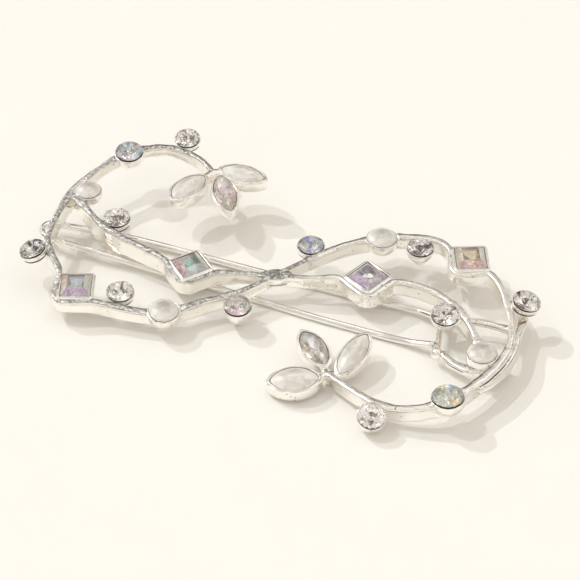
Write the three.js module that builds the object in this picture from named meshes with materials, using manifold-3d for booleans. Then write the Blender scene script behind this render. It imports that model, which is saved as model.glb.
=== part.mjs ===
// Hair barrette: an openwork silver-plated vine in the shape of a lying S, set with glass stones,
// with a hinged wire bail underneath that closes on the hair.
// Millimetres. +X runs along the bail from its looped end to its hinge. +Z is up.
// The piece rests on Z = 0.
import * as THREE from 'three';
import { mergeVertices } from 'three/addons/utils/BufferGeometryUtils.js';
import Module from 'manifold-3d';

const UP = new THREE.Vector3(0, 0, 1);

// Every place below is measured from the point under the vine's crossing.
// This is where that point lies once the middle of the whole piece's box is over the origin.
const CROSSING = { x: -0.2, y: -0.6 };

// Vine: an upright strip with a rounded ridge, slightly wider at the foot.
const VINE_SHOULDERS = [
  { halfWidth: 0.61, below: 0.4 },
  { halfWidth: 0.34, below: 0 },
];
const VINE_FOOT_HALF_WIDTH = 0.68;
const VINE_STEP = 3.6;
const STEM_RIDGE_BELOW_RIM = 1.0;
const STEM_DEPTH = 1.3;
const STEM_SEARCH_POINTS = 100;
const STEM_NEEDED_PAST = 0.5;
const LEAF_TWIG_BELOW_RIM = 0.3;
const LEAF_TWIG_DEPTH = 1.7;
const LEAF_TWIG_REACH = 1.2;

// Settings: thin cups with a pocket for the stone.
const STONE_GAP = 0.13;
const STONE_SEAT_BELOW_RIM = 0.08;
const STONE_DEPTH = 1.1;
const POCKET_DEPTH = STONE_DEPTH + STONE_SEAT_BELOW_RIM + STONE_GAP;
const POCKET_HEADROOM = 2.5;
const ROUND_WALL = 0.23;
const ROUND_RIM_CLEARANCE = 0.03;
const BOX_WALL = 0.46;
const LEAF_WALL = 0.3;
const CUP_SHOULDER_BELOW_RIM = 1.3;
const CONE_TIP_RADIUS = 0.55;
const BOX_FOOT_INSET = 0.1;
const LEAF_FOOT_INSET = 0.45;
const ROUND_SIDES = 12;

// Stones: how far the straight edge goes down, and what stands above the setting's rim.
const STONE_EDGE = 0.25;
const BACK_SHARE = 0.5;
const CUT_CROWN = { underside: 0.2, girdle: 0.32, shoulderShare: 0.52, shoulder: 1.06 };
const ROUND_CROWNS = {
  clear: CUT_CROWN,
  iris: CUT_CROWN,
  frosted: { underside: 0.13, girdle: 0.25, shoulderShare: 0.78, shoulder: 0.74, tip: 0.95 },
};
const SQUARE_TABLE_SHARE = 0.56;
const SQUARE_CROWN = 1.0;
const LEAF_TABLE_INSET = 1.0;
const LEAF_CROWN = 0.66;
const LEAF_SIDES = 10;
const LEAF_POINT_STRETCH = 1.7;
const LEAF_TAPER = 0.35;

// Flat cast patch where the two halves of the S cross.
const CROSSING_PATCH = { halfLength: 2.9, halfWidth: 1.25, top: 4.95, turn: 24, sides: 12 };
const CROSSING_PATCH_LEVELS = rowsOf(['offset', 'z'], [[0.15, -1.6], [0.1, -0.3], [-0.15, 0]]);

// Bail: one closed loop of round wire whose cross rod turns in two knuckles.
const WIRE_RADIUS = 0.55;
const WIRE_LOWEST = 0.56;
const WIRE_SIDES = 8;
const WIRE_STEPS = 70;
const ROD_RADIUS = 0.5;
const STUB_RADIUS = 0.35;
const STUB_REACH = 2.0;
const HINGE_NEAR = new THREE.Vector3(30.25, -4.2, 2.2);
const HINGE_FAR = new THREE.Vector3(28.93, 2.3, 2.2);
const KNUCKLE_RADIUS = 0.95;
const KNUCKLE_START = 1.15;
const KNUCKLE_LENGTH = 1.5;
const SOCKET_RADIUS = 0.6;
const SOCKET_DEPTH = 1.1;
const SOCKET_LEAD = 0.5;
const KNUCKLE_SIDES = 12;

// Catch: a lug behind the lower arm of the bail, with a foot that stands on the surface.
const CATCH_PLATE = { x: -29.9, y: -1.05, length: 2.2, width: 0.9, foot: 0.35, top: 4.5, turn: -18 };
const CATCH_FOOT = { x: -28.9, y: -1.3, length: 1.6, width: 0.8, foot: 0.02, top: 3.2, turn: -14 };

// Ear: a small lug under the outside of the right loop.
const EAR = { x: 42.0, y: -4.5, length: 1.5, width: 1.1, foot: 0.02, top: 3.6, turn: -75 };

const WELD_DISTANCE = 1e-4;

const COLOURS = {
  silver: { color: 0xd9d9d6, roughness: 0.22, metalness: 1 },
  wire: { color: 0xd4d4d0, roughness: 0.2, metalness: 1 },
  clear: { color: 0xb9adb2, roughness: 0.06, metalness: 0.2 },
  iris: { color: 0xa9b8c4, roughness: 0.08, metalness: 0.3 },
  frosted: { color: 0xece5da, roughness: 0.55, metalness: 0 },
};

// Paths of the vine's ridge, with the height of the wall under it. They bend round the square settings.
const STRIP_COLUMNS = ['x', 'y', 'ridge', 'wall'];
const VINE_PATHS = {
  leftOuter: rowsOf(STRIP_COLUMNS, [
    [-18.75, 18.3, 8.1, 2.0],
    [-23.1, 20.9, 8.3, 2.2],
    [-29.2, 21.2, 8.6, 1.8],
    [-34.5, 17.3, 8.8, 2.2],
    [-37.9, 12.1, 8.2, 1.9],
    [-40.1, 5.4, 7.4, 3.0],
    [-39.9, -3.0, 7.0, 3.0],
    [-38.6, -8.1, 6.6, 3.0],
    [-34.5, -12.2, 5.5, 2.9],
    [-33.5, -15.2, 4.95, 2.6],
    [-32.9, -17.3, 4.8, 2.3],
    [-31.6, -18.25, 4.7, 2.2],
    [-29.2, -17.55, 4.65, 2.3],
    [-26.5, -16.4, 4.55, 2.7],
    [-24.0, -16.0, 4.4, 2.8],
    [-19.0, -15.4, 4.1, 2.6],
    [-14.3, -14.3, 4.1, 2.6],
    [-9.6, -9.9, 4.3, 2.8],
    [-4.2, -5.5, 4.6, 2.4],
    [0.0, 0.0, 4.9, 1.8],
  ]),
  leftInner: rowsOf(STRIP_COLUMNS, [
    [-39.4, 4.8, 7.4, 2.6],
    [-36.0, 2.3, 7.1, 3.6],
    [-32.4, 0.0, 6.8, 4.7],
    [-29.8, -0.9, 6.5, 4.6],
    [-26.9, -1.7, 6.2, 3.8],
    [-22.5, -2.4, 5.7, 3.6],
    [-18.9, -3.3, 5.3, 3.2],
    [-16.4, -5.4, 5.0, 2.8],
    [-14.4, -6.9, 4.95, 2.7],
    [-13.0, -6.6, 4.95, 2.7],
    [-11.5, -4.9, 4.95, 2.7],
    [-9.4, -2.7, 4.95, 2.7],
    [-6.9, -1.9, 4.9, 2.4],
    [0.0, 0.0, 4.9, 1.8],
  ]),
  rightOuter: rowsOf(STRIP_COLUMNS, [
    [0.0, 0.0, 4.9, 1.8],
    [4.3, 5.5, 5.4, 2.4],
    [8.8, 10.5, 5.8, 2.6],
    [14.2, 14.4, 6.0, 2.8],
    [20.5, 16.2, 6.5, 2.6],
    [24.6, 16.1, 6.6, 2.6],
    [26.4, 14.7, 6.6, 2.5],
    [27.3, 12.2, 6.5, 2.3],
    [28.1, 10.4, 6.45, 2.2],
    [29.3, 9.65, 6.4, 2.2],
    [31.6, 10.5, 6.4, 2.4],
    [34.1, 11.6, 6.45, 2.8],
    [38.0, 7.6, 6.4, 3.0],
    [40.7, 2.0, 6.1, 3.0],
    [41.9, -3.6, 5.7, 3.0],
    [40.7, -9.3, 5.4, 3.0],
    [38.0, -15.1, 5.4, 3.0],
    [36.0, -17.8, 5.3, 3.0],
    [31.9, -20.4, 4.4, 2.8],
    [26.8, -21.3, 3.8, 2.6],
    [21.2, -19.7, 3.5, 2.4],
    [15.4, -17.2, 3.4, 2.0],
  ]),
  rightInner: rowsOf(STRIP_COLUMNS, [
    [0.0, 0.0, 4.9, 1.8],
    [5.8, 1.3, 5.1, 2.4],
    [10.6, 2.8, 5.3, 2.7],
    [13.6, 1.3, 5.3, 2.7],
    [15.8, 0.3, 5.3, 2.7],
    [17.1, 0.8, 5.3, 2.7],
    [18.2, 3.0, 5.35, 2.7],
    [19.7, 5.0, 5.5, 2.8],
    [24.9, 5.3, 5.6, 2.8],
    [29.8, 3.6, 5.5, 2.6],
    [33.9, 0.3, 5.3, 3.0],
    [36.9, -4.0, 5.2, 3.0],
    [38.1, -6.2, 5.2, 3.0],
  ]),
};

const VINE_ENDS = {
  left: VINE_PATHS.leftOuter[0],
  right: VINE_PATHS.rightOuter.at(-1),
};

// Lesser cast strips: one between the two right branches, one from the near knuckle to the outer branch,
// and a second strand low along the outside of the right loop.
const STRIP_PATHS = {
  bridge: rowsOf(STRIP_COLUMNS, [
    [32.7, 1.6, 3.9, 0.9],
    [34.6, 2.5, 3.7, 0.9],
    [37.4, 2.8, 3.7, 0.9],
    [41.0, 2.3, 3.9, 1.0],
  ]),
  hingeArm: rowsOf(STRIP_COLUMNS, [
    [30.8, -5.2, 2.8, 1.1],
    [32.2, -6.4, 2.85, 1.2],
    [33.9, -7.4, 2.9, 1.3],
    [36.5, -8.0, 3.1, 1.5],
    [38.9, -7.7, 3.4, 1.6],
  ]),
  rightShoulder: rowsOf(STRIP_COLUMNS, [
    [42.1, 5.2, 4.4, 1.4],
    [42.25, 1.5, 4.6, 2.0],
    [42.7, -2.4, 4.5, 2.2],
    [42.3, -6.2, 4.3, 2.2],
    [41.0, -9.8, 4.4, 1.9],
    [39.4, -12.8, 4.6, 1.6],
  ]),
};

// Round settings. rimShown is the width of rim left bare round the stone.
// tilt is the lean of the stone away from level, toward is the side it leans to.
const ROUND_SETTINGS = rowsOf(
  ['name', 'kind', 'x', 'y', 'rim', 'radius', 'rimShown', 'depth', 'tilt', 'toward'],
  [
    ['clear_stone_left_1', 'clear', -26.4, 24.8, 8.2, 2.4, 0.1, 2.6, 8, -69],
    ['iris_stone_left_1', 'iris', -34.3, 16.8, 8.9, 2.6, 0.14, 2.9, 6, -69],
    ['frosted_stone_left_1', 'frosted', -37.3, 5.9, 7.7, 2.4, 0.18, 2.6, 0, 0],
    ['clear_stone_left_2', 'clear', -30.1, 1.9, 6.6, 2.45, 0.1, 2.6, 4, -69],
    ['clear_stone_left_3', 'clear', -40.2, -10.4, 6.5, 2.4, 0.1, 2.6, 14, 200],
    ['clear_stone_left_4', 'clear', -22.9, -12.9, 4.4, 2.45, 0.1, 2.6, 4, -69],
    ['frosted_stone_left_2', 'frosted', -14.3, -14.3, 4.2, 2.85, 0.36, 2.6, 4, -69],
    ['iris_stone_left_2', 'iris', -3.2, -9.1, 4.3, 2.45, 0.14, 4.28, 4, -69],
    ['clear_stone_right_1', 'clear', 25.4, -23.8, 3.1, 2.4, 0.1, 3.08, 22, -69],
    ['iris_stone_right_1', 'iris', 36.0, -17.9, 5.5, 2.75, 0.14, 2.9, 4, 160],
    ['frosted_stone_right_1', 'frosted', 38.2, -6.3, 5.3, 2.6, 0.18, 2.6, 0, 0],
    ['clear_stone_right_2', 'clear', 30.0, 0.2, 5.2, 2.45, 0.1, 2.0, 10, -69],
    ['clear_stone_right_3', 'clear', 42.0, 6.7, 6.4, 2.45, 0.1, 2.6, 12, 0],
    ['clear_stone_right_4', 'clear', 21.5, 13.2, 6.4, 2.4, 0.1, 3.4, 0, 0],
    ['frosted_stone_right_2', 'frosted', 14.4, 13.9, 6.0, 2.75, 0.18, 3.0, 0, 0],
    ['iris_stone_right_2', 'iris', 3.5, 8.1, 5.6, 2.45, 0.14, 3.0, 0, 0],
  ],
);

// Square settings. halfX and halfY are the stone's own half sides, turn is the angle of its first side.
const SQUARE_SETTINGS = rowsOf(
  ['name', 'x', 'y', 'rim', 'halfX', 'halfY', 'depth', 'turn'],
  [
    ['square_stone_left', -30.3, -14.4, 4.9, 2.55, 2.65, 2.3, 20.6],
    ['diamond_stone_left', -14.2, -3.0, 5.1, 2.5, 2.5, 2.8, 50],
    ['diamond_stone_right', 15.1, 4.4, 5.5, 2.55, 2.5, 2.8, 65.6],
    ['square_stone_right', 30.3, 13.6, 6.7, 2.55, 2.65, 2.4, 22.5],
  ],
);

// Leaf settings. stemEnd and point are the two ends of the rim, each as x, y and height.
const LEAF_SETTINGS = rowsOf(
  ['name', 'kind', 'half', 'halfWidth', 'depth', 'stemEnd', 'point'],
  [
    ['frosted_leaf_left_1', 'frosted', 'left', 2.2, 2.6, [-19.5, 16.6, 8.3], [-22.6, 8.4, 8.3]],
    ['iris_leaf_left', 'iris', 'left', 1.9, 2.4, [-17.5, 18.0, 7.9], [-11.9, 9.8, 7.2]],
    ['frosted_leaf_left_2', 'frosted', 'left', 2.1, 2.4, [-17.9, 19.3, 8.3], [-9.0, 19.4, 8.0]],
    ['frosted_leaf_right_1', 'frosted', 'right', 2.6, 2.4, [15.0, -18.4, 3.1], [7.0, -22.0, 2.7]],
    ['iris_leaf_right', 'iris', 'right', 2.0, 2.3, [15.1, -16.0, 3.4], [8.7, -10.5, 4.3]],
    ['frosted_leaf_right_2', 'frosted', 'right', 1.9, 2.2, [17.4, -17.2, 3.2], [19.3, -7.8, 4.9]],
  ],
);

// Centre line of the bail's wire, from the near end of the rod round the looped end to the far end.
const WIRE_PATH = rowsOf(
  ['x', 'y', 'z'],
  [
    [29.6, -4.1, 2.12],
    [28.2, -4.0, 1.75],
    [25.4, -3.8, 1.05],
    [21.8, -3.6, 0.66],
    [17.4, -3.5, WIRE_LOWEST],
    [7.5, -3.3, WIRE_LOWEST],
    [-2.6, -2.8, 0.58],
    [-10.0, -2.6, 0.7],
    [-18.0, -2.5, 1.0],
    [-26.0, -2.5, 1.4],
    [-31.6, -2.6, 1.75],
    [-37.0, -2.6, 2.0],
    [-41.0, -2.5, 2.2],
    [-42.7, -2.0, 2.3],
    [-43.5, -0.8, 2.3],
    [-43.3, 0.6, 2.3],
    [-42.2, 1.4, 2.2],
    [-40.4, 1.6, 2.1],
    [-35.3, 2.6, 1.7],
    [-29.0, 3.4, 1.35],
    [-18.0, 3.9, 0.9],
    [-10.2, 3.95, 0.68],
    [-1.6, 4.0, WIRE_LOWEST],
    [9.1, 3.9, WIRE_LOWEST],
    [17.2, 3.8, 0.75],
    [24.9, 3.5, 1.35],
    [27.1, 2.75, 1.8],
    [28.5, 2.3, 2.12],
  ],
);

const wasm = await Module();
wasm.setup();

/** Rows of values as objects with the columns' names. */
function rowsOf(columns, rows) {
  return rows.map((row) => Object.fromEntries(columns.map((column, index) => [column, row[index]])));
}

/** Joins rings of equal length into one closed body, with a fan over each end. */
function lofted(rings, firstTip, lastTip) {
  const sides = rings[0].length;
  const points = [...rings.flat(), firstTip ?? middleOf(rings[0]), lastTip ?? middleOf(rings.at(-1))];
  const firstTipIndex = points.length - 2;
  const lastTipIndex = points.length - 1;
  const faces = [];
  for (let side = 0; side < sides; side += 1) {
    const next = (side + 1) % sides;
    faces.push(firstTipIndex, next, side);
    for (let ring = 0; ring < rings.length - 1; ring += 1) {
      const low = ring * sides;
      const high = low + sides;
      faces.push(low + side, low + next, high + next);
      faces.push(low + side, high + next, high + side);
    }
    const top = (rings.length - 1) * sides;
    faces.push(lastTipIndex, top + side, top + next);
  }
  const geometry = new THREE.BufferGeometry().setFromPoints(points);
  geometry.setIndex(faces);
  return geometry;
}

function middleOf(ring) {
  const sum = ring.reduce((total, point) => total.add(point), new THREE.Vector3());
  return sum.divideScalar(ring.length);
}

/** Stacks copies of an outline: each level has its own outward offset and height. */
function stacked(outline, levels, lastTip) {
  return lofted(levels.map(({ offset, z }) => outline(offset, z)), undefined, lastTip);
}

const radians = THREE.MathUtils.degToRad;

function turnedOutline(sides, pointAt) {
  return Array.from({ length: sides }, (_, side) => pointAt((side / sides) * 2 * Math.PI));
}

function roundOutline(radius, sides) {
  return (offset, z) => turnedOutline(sides, (angle) => {
    const reach = radius + offset;
    return new THREE.Vector3(Math.cos(angle) * reach, Math.sin(angle) * reach, z);
  });
}

function squareOutline(halfX, halfY) {
  const corners = [[-1, -1], [1, -1], [1, 1], [-1, 1]];
  return (offset, z) => corners.map(([sideX, sideY]) => (
    new THREE.Vector3(sideX * (halfX + offset), sideY * (halfY + offset), z)
  ));
}

/** A pointed oval along X. */
function leafOutline(halfLength, halfWidth, sides) {
  return (offset, z) => turnedOutline(sides, (angle) => {
    const along = Math.cos(angle) * (halfLength + offset * LEAF_POINT_STRETCH);
    const fullness = Math.sin(angle) * Math.abs(Math.sin(angle)) ** LEAF_TAPER;
    return new THREE.Vector3(along, fullness * (halfWidth + offset), z);
  });
}

/** A smooth curve through the rows of a path, with one of their columns as its height. */
function curveThrough(path, column) {
  const points = path.map((row) => new THREE.Vector3(row.x, row.y, row[column]));
  return new THREE.CatmullRomCurve3(points, false, 'centripetal');
}

/** Upright strip that follows a path of ridge points. */
function ribbon(path) {
  const ridge = curveThrough(path, 'ridge');
  const walls = curveThrough(path, 'wall');
  return lofted(stationsAlong(path).map((station) => {
    const left = new THREE.Vector3().crossVectors(UP, ridge.getTangent(station)).normalize();
    return vineSection(ridge.getPoint(station), left, walls.getPoint(station).z);
  }));
}

/** Shares of the way along a path: each of its rows, with even steps where rows lie far apart. */
function stationsAlong(path) {
  const spans = path.length - 1;
  const stations = path.slice(1).flatMap((row, span) => {
    const start = path[span];
    const steps = Math.ceil(Math.hypot(row.x - start.x, row.y - start.y) / VINE_STEP);
    return Array.from({ length: steps }, (_, step) => (span + step / steps) / spans);
  });
  return [...stations, 1];
}

function vineSection(top, left, wall) {
  const rightSide = [{ halfWidth: VINE_FOOT_HALF_WIDTH, below: wall }, ...VINE_SHOULDERS];
  const leftSide = rightSide.toReversed().map(({ halfWidth, below }) => (
    { halfWidth: -halfWidth, below }));
  return [...rightSide, ...leftSide].map(({ halfWidth, below }) => (
    top.clone().addScaledVector(left, halfWidth).addScaledVector(UP, -below)
  ));
}

function turnTo({ tilt = 0, toward = 0, turn = 0 }) {
  const leanAxis = new THREE.Vector3(0, 1, 0).applyAxisAngle(UP, radians(toward));
  const lean = new THREE.Quaternion().setFromAxisAngle(leanAxis, radians(tilt));
  const spin = new THREE.Quaternion().setFromAxisAngle(UP, radians(turn));
  return lean.multiply(spin);
}

function place(setting) {
  const position = new THREE.Vector3(setting.x, setting.y, setting.rim);
  return { position, quaternion: turnTo(setting) };
}

function leafEnds({ stemEnd, point }) {
  return { start: new THREE.Vector3(...stemEnd), end: new THREE.Vector3(...point) };
}

/** A leaf lies along the line from its stem end to its point. */
function placeLeaf(setting) {
  const { start, end } = leafEnds(setting);
  const along = end.clone().sub(start).normalize();
  const across = new THREE.Vector3().crossVectors(UP, along).normalize();
  const lift = new THREE.Vector3().crossVectors(along, across);
  const axes = new THREE.Matrix4().makeBasis(along, across, lift);
  const quaternion = new THREE.Quaternion().setFromRotationMatrix(axes);
  return { position: start.add(end).multiplyScalar(0.5), quaternion };
}

function leafStoneOutline(setting) {
  const { start, end } = leafEnds(setting);
  const halfLength = start.distanceTo(end) / 2 - LEAF_WALL * LEAF_POINT_STRETCH;
  return leafOutline(halfLength, setting.halfWidth, LEAF_SIDES);
}

function moved(geometry, { position, quaternion }) {
  const matrix = new THREE.Matrix4().compose(position, quaternion, new THREE.Vector3(1, 1, 1));
  return geometry.applyMatrix4(matrix);
}

/** A solid cup with its rim at height zero, tapering to a small foot. */
function cup(outline, wall, depth, footOffset) {
  return stacked(outline, [
    { offset: footOffset, z: -depth },
    { offset: wall + STONE_GAP, z: -CUP_SHOULDER_BELOW_RIM },
    { offset: wall + STONE_GAP, z: 0 },
  ]);
}

/** The space cut out of a cup for its stone, wider above the rim where the stone overhangs it. */
function pocket(outline, overhang) {
  return stacked(outline, [
    { offset: STONE_GAP, z: -POCKET_DEPTH },
    { offset: STONE_GAP, z: ROUND_RIM_CLEARANCE },
    { offset: STONE_GAP + overhang, z: 2 * ROUND_RIM_CLEARANCE },
    { offset: STONE_GAP + overhang, z: POCKET_HEADROOM },
  ]);
}

/** Radius of the part of a round stone that lies inside its cup. */
function seatRadius({ radius }) {
  return radius - ROUND_WALL - STONE_GAP;
}

/** How far a round stone's girdle stands out past the part inside its cup. */
function girdleOverhang(setting) {
  return setting.radius - setting.rimShown - seatRadius(setting);
}

function roundSettings() {
  return ROUND_SETTINGS.map((setting) => {
    const seat = seatRadius(setting);
    const outline = roundOutline(seat, ROUND_SIDES);
    return {
      cup: moved(cup(outline, ROUND_WALL, setting.depth, CONE_TIP_RADIUS - seat), place(setting)),
      pocket: moved(pocket(outline, girdleOverhang(setting)), place(setting)),
    };
  });
}

function squareSettings() {
  return SQUARE_SETTINGS.map((setting) => {
    const outline = squareOutline(setting.halfX, setting.halfY);
    return {
      cup: moved(cup(outline, BOX_WALL, setting.depth, -BOX_FOOT_INSET), place(setting)),
      pocket: moved(pocket(outline, 0), place(setting)),
    };
  });
}

function leafSettings() {
  return LEAF_SETTINGS.map((setting) => {
    const outline = leafStoneOutline(setting);
    return {
      cup: moved(cup(outline, LEAF_WALL, setting.depth, -LEAF_FOOT_INSET), placeLeaf(setting)),
      pocket: moved(pocket(outline, 0), placeLeaf(setting)),
    };
  });
}

/** Short strips that tie the round cups beside the vine to the nearest point of its ridge. */
function stems() {
  const ridgePoints = Object.values(VINE_PATHS).flatMap((path) => (
    curveThrough(path, 'ridge').getSpacedPoints(STEM_SEARCH_POINTS).map((point) => point.setZ(0))
  ));
  return ROUND_SETTINGS.flatMap((setting) => {
    const centre = new THREE.Vector3(setting.x, setting.y, 0);
    const nearest = ridgePoints.reduce((best, point) => (
      point.distanceTo(centre) < best.distanceTo(centre) ? point : best
    ));
    const isOnVine = nearest.distanceTo(centre) <= setting.radius * STEM_NEEDED_PAST;
    const level = { ridge: setting.rim - STEM_RIDGE_BELOW_RIM, wall: STEM_DEPTH };
    const ends = [{ x: setting.x, y: setting.y, ...level }, { x: nearest.x, y: nearest.y, ...level }];
    return isOnVine ? [] : [ribbon(ends)];
  });
}

/** Short twigs from the end of each half's vine into the stem ends of its leaves. */
function leafTwigs() {
  return LEAF_SETTINGS.map((setting) => {
    const { start, end } = leafEnds(setting);
    const into = start.clone().addScaledVector(end.clone().sub(start).normalize(), LEAF_TWIG_REACH);
    const level = { ridge: start.z - LEAF_TWIG_BELOW_RIM, wall: LEAF_TWIG_DEPTH };
    const vineEnd = VINE_ENDS[setting.half];
    return ribbon([{ x: vineEnd.x, y: vineEnd.y, ...level }, { x: into.x, y: into.y, ...level }]);
  });
}

function crossingPatch() {
  const { halfLength, halfWidth, top, turn, sides } = CROSSING_PATCH;
  const patch = stacked(leafOutline(halfLength, halfWidth, sides), CROSSING_PATCH_LEVELS);
  return moved(patch, place({ x: 0, y: 0, rim: top, turn }));
}

function hingeDirection() {
  return HINGE_FAR.clone().sub(HINGE_NEAR).normalize();
}

/** A cylinder from one point, along a direction. */
function bar(start, direction, length, radius, sides) {
  const geometry = new THREE.CylinderGeometry(radius, radius, length, sides);
  const quaternion = new THREE.Quaternion().setFromUnitVectors(new THREE.Vector3(0, 1, 0), direction);
  return moved(geometry, { position: start.clone().addScaledVector(direction, length / 2), quaternion });
}

/** The two blind bosses that hold the ends of the bail's rod. */
function knuckles() {
  return [
    { end: HINGE_NEAR, outward: hingeDirection().negate() },
    { end: HINGE_FAR, outward: hingeDirection() },
  ].map(({ end, outward }) => {
    const face = end.clone().addScaledVector(outward, KNUCKLE_START);
    const socketStart = face.clone().addScaledVector(outward, -SOCKET_LEAD);
    return {
      boss: bar(face, outward, KNUCKLE_LENGTH, KNUCKLE_RADIUS, KNUCKLE_SIDES),
      socket: bar(socketStart, outward, SOCKET_LEAD + SOCKET_DEPTH, SOCKET_RADIUS, KNUCKLE_SIDES),
    };
  });
}

/** An upright block with its sides turned about Z. */
function lug({ x, y, length, width, foot, top, turn }) {
  const geometry = new THREE.BoxGeometry(length, width, top - foot);
  const position = new THREE.Vector3(x, y, (top + foot) / 2);
  return moved(geometry, { position, quaternion: turnTo({ turn }) });
}

function toManifold(geometry) {
  geometry.deleteAttribute('normal');
  geometry.deleteAttribute('uv');
  const merged = mergeVertices(geometry, WELD_DISTANCE);
  const vertProperties = Float32Array.from(merged.attributes.position.array);
  const triVerts = Uint32Array.from(merged.index.array);
  return new wasm.Manifold(new wasm.Mesh({ numProp: 3, vertProperties, triVerts }));
}

function united(geometries) {
  return geometries.map(toManifold).reduce((sum, solid) => sum.add(solid));
}

function toGeometry(solid) {
  const mesh = solid.getMesh();
  const geometry = new THREE.BufferGeometry();
  geometry.setAttribute('position', new THREE.BufferAttribute(Float32Array.from(mesh.vertProperties), 3));
  geometry.setIndex(new THREE.BufferAttribute(Uint32Array.from(mesh.triVerts), 1));
  geometry.computeVertexNormals();
  return geometry;
}

function named(name, geometry, material) {
  const mesh = new THREE.Mesh(geometry, material);
  mesh.name = name;
  return mesh;
}

function material(kind) {
  return new THREE.MeshStandardMaterial(COLOURS[kind]);
}

/** The whole casting: vine, cups, strips, knuckles, catch and ear in one piece. */
function vineFrame() {
  const settings = [...roundSettings(), ...squareSettings(), ...leafSettings()];
  const bosses = knuckles();
  const paths = [...Object.values(VINE_PATHS), ...Object.values(STRIP_PATHS)];
  const body = united([
    ...paths.map(ribbon),
    ...stems(),
    ...leafTwigs(),
    ...settings.map((setting) => setting.cup),
    ...bosses.map(({ boss }) => boss),
    ...[CATCH_PLATE, CATCH_FOOT, EAR].map(lug),
    crossingPatch(),
  ]);
  const pockets = settings.map((setting) => setting.pocket);
  const hollows = united([...pockets, ...bosses.map(({ socket }) => socket)]);
  return named('vine_frame', toGeometry(body.subtract(hollows)), material('silver'));
}

/** The bail's wire, its cross rod and the two thinner stub ends in the knuckles. */
function wireBail() {
  const circle = new THREE.Shape(
    roundOutline(WIRE_RADIUS, WIRE_SIDES)(0, 0).map(({ x, y }) => new THREE.Vector2(x, y)),
  );
  const sweep = { steps: WIRE_STEPS, bevelEnabled: false, extrudePath: curveThrough(WIRE_PATH, 'z') };
  const loop = new THREE.ExtrudeGeometry(circle, sweep);
  const rod = crossBar(WIRE_RADIUS, ROD_RADIUS);
  const stubs = crossBar(STUB_REACH, STUB_RADIUS);
  return named('wire_bail', toGeometry(united([loop, rod, stubs])), material('wire'));
}

/** A round bar along the hinge line that runs past both ends of the wire by the same reach. */
function crossBar(reach, radius) {
  const direction = hingeDirection();
  const start = HINGE_NEAR.clone().addScaledVector(direction, -reach);
  const length = HINGE_NEAR.distanceTo(HINGE_FAR) + 2 * reach;
  return bar(start, direction, length, radius, KNUCKLE_SIDES);
}

/** A stone from its flat back up to its seat at the rim, with the crown's levels on top. */
function stoneGeometry(outline, backInset, crown, tip) {
  const geometry = stacked(outline, [
    { offset: -backInset, z: -STONE_SEAT_BELOW_RIM - STONE_DEPTH },
    { offset: 0, z: -STONE_SEAT_BELOW_RIM - STONE_EDGE },
    ...crown,
  ], tip);
  geometry.computeVertexNormals();
  return geometry;
}

function placedStone(setting, geometry, kind, { position, quaternion }) {
  const stone = named(setting.name, geometry, material(kind));
  stone.position.copy(position);
  stone.quaternion.copy(quaternion);
  return stone;
}

/** Cut round stones have a flat table, frosted ones a low point. Their girdles overhang the rim. */
function roundStone(setting) {
  const { underside, girdle, shoulderShare, shoulder, tip } = ROUND_CROWNS[setting.kind];
  const seat = seatRadius(setting);
  const overhang = girdleOverhang(setting);
  const crown = [
    { offset: 0, z: underside },
    { offset: overhang, z: girdle },
    { offset: (seat + overhang) * shoulderShare - seat, z: shoulder },
  ];
  const top = tip && new THREE.Vector3(0, 0, tip);
  const geometry = stoneGeometry(roundOutline(seat, ROUND_SIDES), seat * BACK_SHARE, crown, top);
  return placedStone(setting, geometry, setting.kind, place(setting));
}

function squareStone(setting) {
  const inset = setting.halfX * (1 - SQUARE_TABLE_SHARE);
  const crown = [{ offset: 0, z: -STONE_SEAT_BELOW_RIM }, { offset: -inset, z: SQUARE_CROWN }];
  const geometry = stoneGeometry(squareOutline(setting.halfX, setting.halfY), inset, crown);
  return placedStone(setting, geometry, 'iris', place(setting));
}

function leafStone(setting) {
  const crown = [{ offset: 0, z: -STONE_SEAT_BELOW_RIM }, { offset: -LEAF_TABLE_INSET, z: LEAF_CROWN }];
  const geometry = stoneGeometry(leafStoneOutline(setting), LEAF_TABLE_INSET, crown);
  return placedStone(setting, geometry, setting.kind, placeLeaf(setting));
}

const barrette = new THREE.Group();
barrette.name = 'hair_barrette';
barrette.position.set(CROSSING.x, CROSSING.y, 0);
barrette.add(vineFrame());
barrette.add(wireBail());
ROUND_SETTINGS.forEach((setting) => barrette.add(roundStone(setting)));
SQUARE_SETTINGS.forEach((setting) => barrette.add(squareStone(setting)));
LEAF_SETTINGS.forEach((setting) => barrette.add(leafStone(setting)));

export default barrette;
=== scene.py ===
import math

import bmesh
import bpy
from mathutils import Matrix, Quaternion, Vector, noise


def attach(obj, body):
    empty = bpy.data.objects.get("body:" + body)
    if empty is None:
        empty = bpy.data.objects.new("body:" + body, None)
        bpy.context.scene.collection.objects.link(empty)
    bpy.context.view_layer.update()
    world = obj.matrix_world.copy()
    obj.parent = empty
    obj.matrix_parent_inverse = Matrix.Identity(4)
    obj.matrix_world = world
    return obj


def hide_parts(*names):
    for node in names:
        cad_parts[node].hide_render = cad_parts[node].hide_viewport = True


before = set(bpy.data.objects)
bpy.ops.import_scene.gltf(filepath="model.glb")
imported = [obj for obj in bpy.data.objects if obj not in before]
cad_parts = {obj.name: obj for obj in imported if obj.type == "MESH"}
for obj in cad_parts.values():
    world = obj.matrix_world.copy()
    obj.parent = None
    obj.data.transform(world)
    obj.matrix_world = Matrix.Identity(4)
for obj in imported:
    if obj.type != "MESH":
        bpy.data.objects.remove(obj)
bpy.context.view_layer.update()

MM = 0.001
CROSSING = Vector((-0.2, -0.6, 0.0))
UP = Vector((0, 0, 1))

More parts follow.
